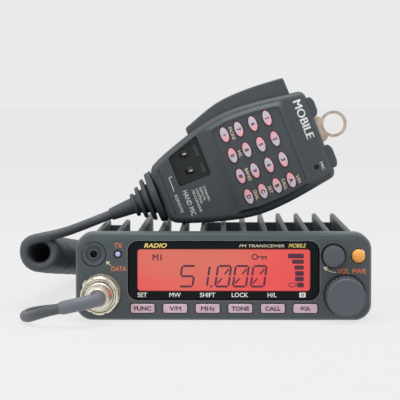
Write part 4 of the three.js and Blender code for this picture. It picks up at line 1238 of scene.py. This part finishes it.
def field_outline(from_u, to_u, inset):
    stations = [(u, side_at(u) - inset) for u in (to_u, 7.2, -8.2, from_u)]
    return mirrored(stations)


def key_place(row, column):
    return (1.5 - row) * MIC_KEY["along"], (1.5 - column) * MIC_KEY["across"]


def mic_piece(name, shape, material, slot, stands_for=(), body="microphone", **more):
    return piece(name, shape, body, material, slot, stands_for, MIC_PLACE, **more)


TALK_WINDOW = ((-29.8, 27.7), (6.6, 21.3), (17.4, 45))
RECESS = {"from": -42.9, "to": -25.3, "low": 0.6, "rim": 2.6}
RING_SLOT = ((30, 36), (MIC_SEAM - 1.3, MIC_SEAM + 1.3), (-5.6, 9.2))
BOOT_END = -81.8


def end_button_hole(low, high):
    return block((29, 36), (3.7, 10.8), (low - 0.3, high + 0.3))


def make_mic_front():
    """The front half: a raised keypad field, the sunk switch recess with a near-black plate on its
    floor as painted shade, and the sound hole.
    """
    body = plate(mirrored(smooth_side(MIC_OUTLINE)), 2, MIC_SEAM - 0.15, 3.6, 3.3, 5, 6)
    field = sloped(
        field_outline(-23.2, 23.4, 1.8), 3.0, field_outline(-18.4, 20.2, 4.4), 0, 2.6,
    )
    well = plate(field_outline(-17.4, 19.2, 5.2), -1, 0.6, 2.0)
    r = RECESS
    pocket = [
        (r["from"], r["low"]), (r["to"], r["low"]), (r["to"], side_at(r["to"]) - r["rim"]),
        (r["from"], side_at(r["from"]) - r["rim"]),
    ]
    tools = [
        well,
        plate(pocket, -1, 5, 1.2),
        rod(26.2, -15.6, -1, 8, 2.6, 24),
        block(*TALK_WINDOW),
        block(*RING_SLOT),
        end_button_hole(8.8, 19.2),
        end_button_hole(-19.2, -7),
        block((-23.2, 28.6), (5.6, MIC_SEAM + 1), (-20.6, 19.2)),
    ]
    tools += [
        oval(*key_place(row, column), MIC_KEY["width"] + 0.5, MIC_KEY["length"] + 0.5, -1, 7, sides=32)
        for row in range(4) for column in range(4)
    ]
    tools += [block((-37.7, -33.1), (4, 8), (v - 1.3, v + 1.3)) for v in SLIDERS.values()]
    shape = cut(add(body, field), *tools)
    # A near-black plate on the recess floor: painted shade for the shadow in the sunk recess.
    inner = [
        (r["from"] + 0.25, r["low"] + 0.25), (r["to"] - 0.25, r["low"] + 0.25),
        (r["to"] - 0.25, side_at(r["to"]) - r["rim"] - 0.3),
        (r["from"] + 0.25, side_at(r["from"]) - r["rim"] - 0.3),
    ]
    slots = [block((-37.4, -33.4), (4, 8), (v - 1.2, v + 1.2)) for v in SLIDERS.values()]
    shade_plate = cut(plate(inner, 4.7, 5.3, 1.0), *slots)
    mic_piece("switch_recess_shade_plate", shade_plate, RECESS_SHADE_BLACK, "mic_plastic")
    mic_piece("microphone_front", shape, MIC_CASE, "mic_plastic", ["mic_front_case"], soften=0.2)


SLIDERS = {"lock_switch": 15.4, "mode_switch": 6.3}


def make_mic_back():
    """The back half, with five low grip bars and four screws."""
    body = plate(mirrored(smooth_side(MIC_OUTLINE)), MIC_SEAM + 0.15, MIC_DEPTH, 3.6, 0, 5, 6, 3.4)
    tools = [
        block(*TALK_WINDOW), block(*RING_SLOT),
        block((-23.2, 28.6), (MIC_SEAM - 1, 22), (-20.6, 19.2)),
    ]
    shape = cut(body, *tools)
    mic_piece("microphone_back", shape, MIC_CASE, "mic_plastic", ["mic_back_case"], soften=0.2)
    places = [(27, 17.5), (27, -17.5), (-38, 12), (-38, -12)]
    heads = [placed(screw_head(4.6, 0.7), u, MIC_DEPTH - 0.1, v, 180, "Z") for u, v in places]
    mic_piece("microphone_screws", heads, SCREW, "nickel_plate")
    bars = [
        block((-14 + i * 6, -12.6 + i * 6), (MIC_DEPTH - 1, MIC_DEPTH + 0.35), (-12, 12), 0.3)
        for i in range(5)
    ]
    mic_piece("microphone_grip_bars", bars, MIC_CASE, "mic_plastic")


KEY_SIGNS = (("1", "2", "3", "A"), ("4", "5", "6", "B"), ("7", "8", "9", "C"), ("*", "0", "#", "D"))
KEY_WORDS = {"*": "star", "#": "hash"}


def make_mic_keys():
    """Sixteen oval keys, each with its figure or letter."""
    for row, signs in enumerate(KEY_SIGNS):
        for column, sign in enumerate(signs):
            u, v = key_place(row, column)
            node = "mic_key_" + KEY_WORDS.get(sign, sign.lower())
            cap = oval(u, v, MIC_KEY["width"], MIC_KEY["length"], MIC_KEY["top"], 5.2, 0.55, 4, 40)
            mic_piece(f"{node}_cap", cap, MIC_KEYS, "mic_key_plastic", [node], node)
            tall = 1.5 if sign == "*" else 2.2
            fuller = 0 if sign == "*" else 0.035
            figure = letters(sign, u, v, tall, MIC_KEY["top"], turn=90, weight=fuller)
            mic_piece(f"{node}_sign", figure, DARK_INK, "mic_key_plastic", (), node)


def make_mic_marks():
    """White names between the keys, and generic words on the case."""
    along, wide = MIC_KEY["along"], MIC_KEY["across"]
    names = [
        ("MONI", -along, 1.5 * wide), ("H/L", -along, 0.5 * wide), ("BAND", -along, -0.5 * wide),
        ("DIAL", -along, -1.5 * wide), ("SET", 0, -1.5 * wide), ("CALL", along, -1.5 * wide),
        ("V/M", 2 * along - 0.3, -1.5 * wide),
    ]
    parts = [letters(word, u, v - 0.6, 1.8, 0.6, turn=90, weight=0.02) for word, u, v in names]
    mic_piece("microphone_key_names", parts, CREAM_INK, "mic_plastic")
    face = 2.0
    parts = [
        letters("MOBILE", 28.9, 9.8, 4.1, face, 20.5, 0.0, 90, 0.04),
        letters("MIC", 29.2, -16.2, 1.5, face, 4.4, 0, 90, 0.01),
        letters("HAND MIC", -41.2, -9.0, 2.6, face, 13.6, 0, 90, 0.0),
        letters("REMOTE", -46.3, -7.4, 1.5, face, 9.6, 0, 90, 0.0),
        stroke([(-44.6, 6.9), (-46.3, 6.9), (-46.3, -0.6)], 0.35, face),
    ]
    lines = ("DYNAMIC", "REMOTE", "CONTROL", "MICROPHONE")
    for i, word in enumerate(lines):
        u = -31.2 - i * 2.0
        v, width = -3.2 - len(word) * 0.62, len(word) * 1.18
        parts.append(letters(word, u, v, 1.25, face, width, 0, 90, 0.01))
    mic_piece("microphone_names", parts, WHITE_INK, "mic_plastic")
    floor = 4.7
    parts = [
        letters(word, -28.2, v, 1.5, floor, 5.4, 0, 90, 0.0)
        for word, v in (("LOCK", SLIDERS["lock_switch"] - 0.6), ("TONE", SLIDERS["mode_switch"] - 0.6))
    ]
    mic_piece("switch_names", parts, GREY_INK, "mic_plastic")


def make_sliders():
    """The two small sliding knobs, each with a short white stroke on its cap: a painted highlight."""
    for node, v in SLIDERS.items():
        u, floor = -34.4, 5.0
        knob = turned(
            [
                (floor - 2.2, 0.9), (floor - 2.15, 1.4), (floor - 1.8, 1.85),
                (floor - 0.9, 1.95), (floor - 0.3, 1.95),
            ],
            u, v, 32,
        )
        stem = rod(u, v, floor - 0.5, floor + 2.4, 2, 16)
        mic_piece(f"{node}_knob", [knob, stem], BLACK, "black_plastic", [node], node)
        # A short white stroke on top of each knob: a painted highlight where light glints on the cap.
        painted_glint = stroke([(u - 0.9, v), (u + 0.9, v)], 0.5, floor - 2.2)
        mic_piece(f"{node}_index", painted_glint, WHITE_INK, "black_plastic", (), node)


def make_talk_bar():
    """The long push-to-talk bar, with a crowned outer side."""
    crown = smooth_side([(26.9, 33.4), (8, 34.7), (-9.2, 33.8), (-29.3, 27.5)])
    outline = [(-29.3, 21.4), (27.2, 21.4), *crown]
    bar = plate(outline, 7, 20.9, 1.2, 0.9, 4, 5, 0.9)
    mic_piece("talk_bar", bar, MIC_CASE, "mic_plastic", ["ptt_bar"], "ptt_bar")


def make_end_buttons():
    """The up and down buttons on the end beside the hanger ring."""
    for node, low, high in (("up_button", 8.8, 19.2), ("down_button", -19.2, -7)):
        top = 34.2 + 3.1
        outline = [
            (30.7, low), (top - 1.2, low), (top, low + 2.6), (top, high - 2.6),
            (top - 1.2, high), (30.7, high),
        ]
        cap = plate(outline, 4, 10.5, 0.9, 0.6, 3, 5, 0.6)
        mic_piece(f"{node}_cap", cap, MIC_CASE, "mic_plastic", [node], node)


def make_hanger_ring():
    """The flat plated ring with its flared root."""
    u, v, y0, y1 = 42.8, 1.6, MIC_SEAM - 1, MIC_SEAM + 1
    flare = plate(
        [
            (31, -5.2), (35.4, -5.2), (37.2, -4.4), (38.6, -2.6), (38.6, 5.8), (37.2, 7.9),
            (35.4, 8.8), (31, 8.8),
        ],
        y0, y1, 0.8,
    )
    disc = rod(u, v, y0, y1, 13.7, 64)
    shape = cut(add(disc, flare), rod(u, v, y0 - 1, y1 + 1, 10.6, 64))
    mic_piece("hanger", shape, STEEL, "ring_steel", ["hanger_ring"], soften=0.35)


BOOT_PROFILE = [
    (BOOT_END, 2.75), (BOOT_END + 0.2, 3.05), (-81, 3.2), (-69.6, 4.2), (-69.2, 4.4),
    (-69.0, 5.8), (-68.8, 6.0), (-67.6, 6.2), (-67.3, 6.0), (-67.0, 5.0),
    (-65.9, 5.2), (-65.6, 8.0), (-65.3, 8.25), (-64.1, 8.6), (-63.8, 8.4),
    (-63.5, 6.2), (-62.1, 6.6), (-61.8, 10.7), (-61.5, 11.0), (-60.2, 11.4),
    (-59.9, 11.2), (-59.6, 7.8), (-58.6, 8.2), (-58.3, 12.8), (-58.0, 13.1),
    (-55.0, 13.8), (-54.8, 13.6), (-54.7, 5.0), (-51.9, 5.0), (-51.9, 6.4), (-50.6, 6.4),
]


def make_boot():
    """The moulded boot: four ribs that get smaller, then a sleeve that holds the cord."""
    boot = turned(BOOT_PROFILE, steps=72)
    squash = Matrix.Diagonal((1, 0.8623, 1, 1)) @ Matrix.Rotation(math.radians(-90), 4, "Z")
    bmesh.ops.transform(boot, matrix=Matrix.Translation((0, MIC_SEAM, 0)) @ squash, verts=boot.verts)
    bmesh.ops.recalc_face_normals(boot, faces=boot.faces[:])
    mic_piece("cord_boot_moulding", boot, BOOT_GREY, "cord_rubber", ["cord_boot"])


make_mic_front()
make_mic_back()
make_mic_keys()
make_mic_marks()
make_sliders()
make_talk_bar()
make_end_buttons()
make_hanger_ring()
make_boot()

# ---- Finishes for the nodes that stay as they are ----

STAYING = {
    "bottom_cover": PAINT, "mic_socket": NICKEL, "speaker": BLACK, "power_module": BLACK,
    "volume_pot": BLACK, "tuning_encoder": BLACK, "mic_element": BLACK,
    "display_board": BOARD, "main_board": BOARD, "mic_board": BOARD,
}
for node, material in STAYING.items():
    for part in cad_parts[node].material_slots:
        part.material = material

# ---- Floor and light ----

PALE = 0.823  # the room's grey
FLOOR_GLOW = 0.72  # keeps the floor as pale as the room, under soft shadows


def make_floor():
    """A wide plain floor."""
    bm = bmesh.new()
    bmesh.ops.create_circle(bm, cap_ends=True, radius=40, segments=96)
    mesh = bpy.data.meshes.new("floor")
    bm.to_mesh(mesh)
    bm.free()
    floor = bpy.data.objects.new("floor", mesh)
    bpy.context.collection.objects.link(floor)
    finish = Finish("floor_pale", 0.9)
    finish.shader.inputs["Base Color"].default_value = (0.1, 0.1, 0.1, 1)
    finish.shader.inputs["Specular IOR Level"].default_value = 0
    finish.shader.inputs["Emission Color"].default_value = (1, 1, 1, 1)
    finish.shader.inputs["Emission Strength"].default_value = FLOOR_GLOW
    mesh.materials.append(finish.material)


def make_light(name, place, target, size, power):
    """A soft lamp panel that faces a target."""
    data = bpy.data.lights.new(name, "AREA")
    data.shape, data.size, data.size_y = "RECTANGLE", *size
    data.energy = power
    light = bpy.data.objects.new(name, data)
    light.location = place
    light.rotation_euler = (Vector(target) - Vector(place)).to_track_quat("-Z", "Y").to_euler()
    bpy.context.collection.objects.link(light)


def make_room():
    """Even pale light from all round."""
    world = bpy.data.worlds.new("studio")
    world.use_nodes = True
    sky = world.node_tree.nodes["Background"]
    sky.inputs["Color"].default_value = (PALE, PALE, PALE, 1)
    sky.inputs["Strength"].default_value = 1.0
    bpy.context.scene.world = world
    bpy.context.scene.view_settings.view_transform = "Standard"


make_floor()
make_room()
make_light("overhead", (0.0, -0.15, 1.5), (0, 0, 0.03), (1.2, 0.8), 14)
make_light("left_front", (-1.1, -1.1, 0.9), (0, 0, 0.04), (0.6, 0.6), 5)

bpy.context.view_layer.update()
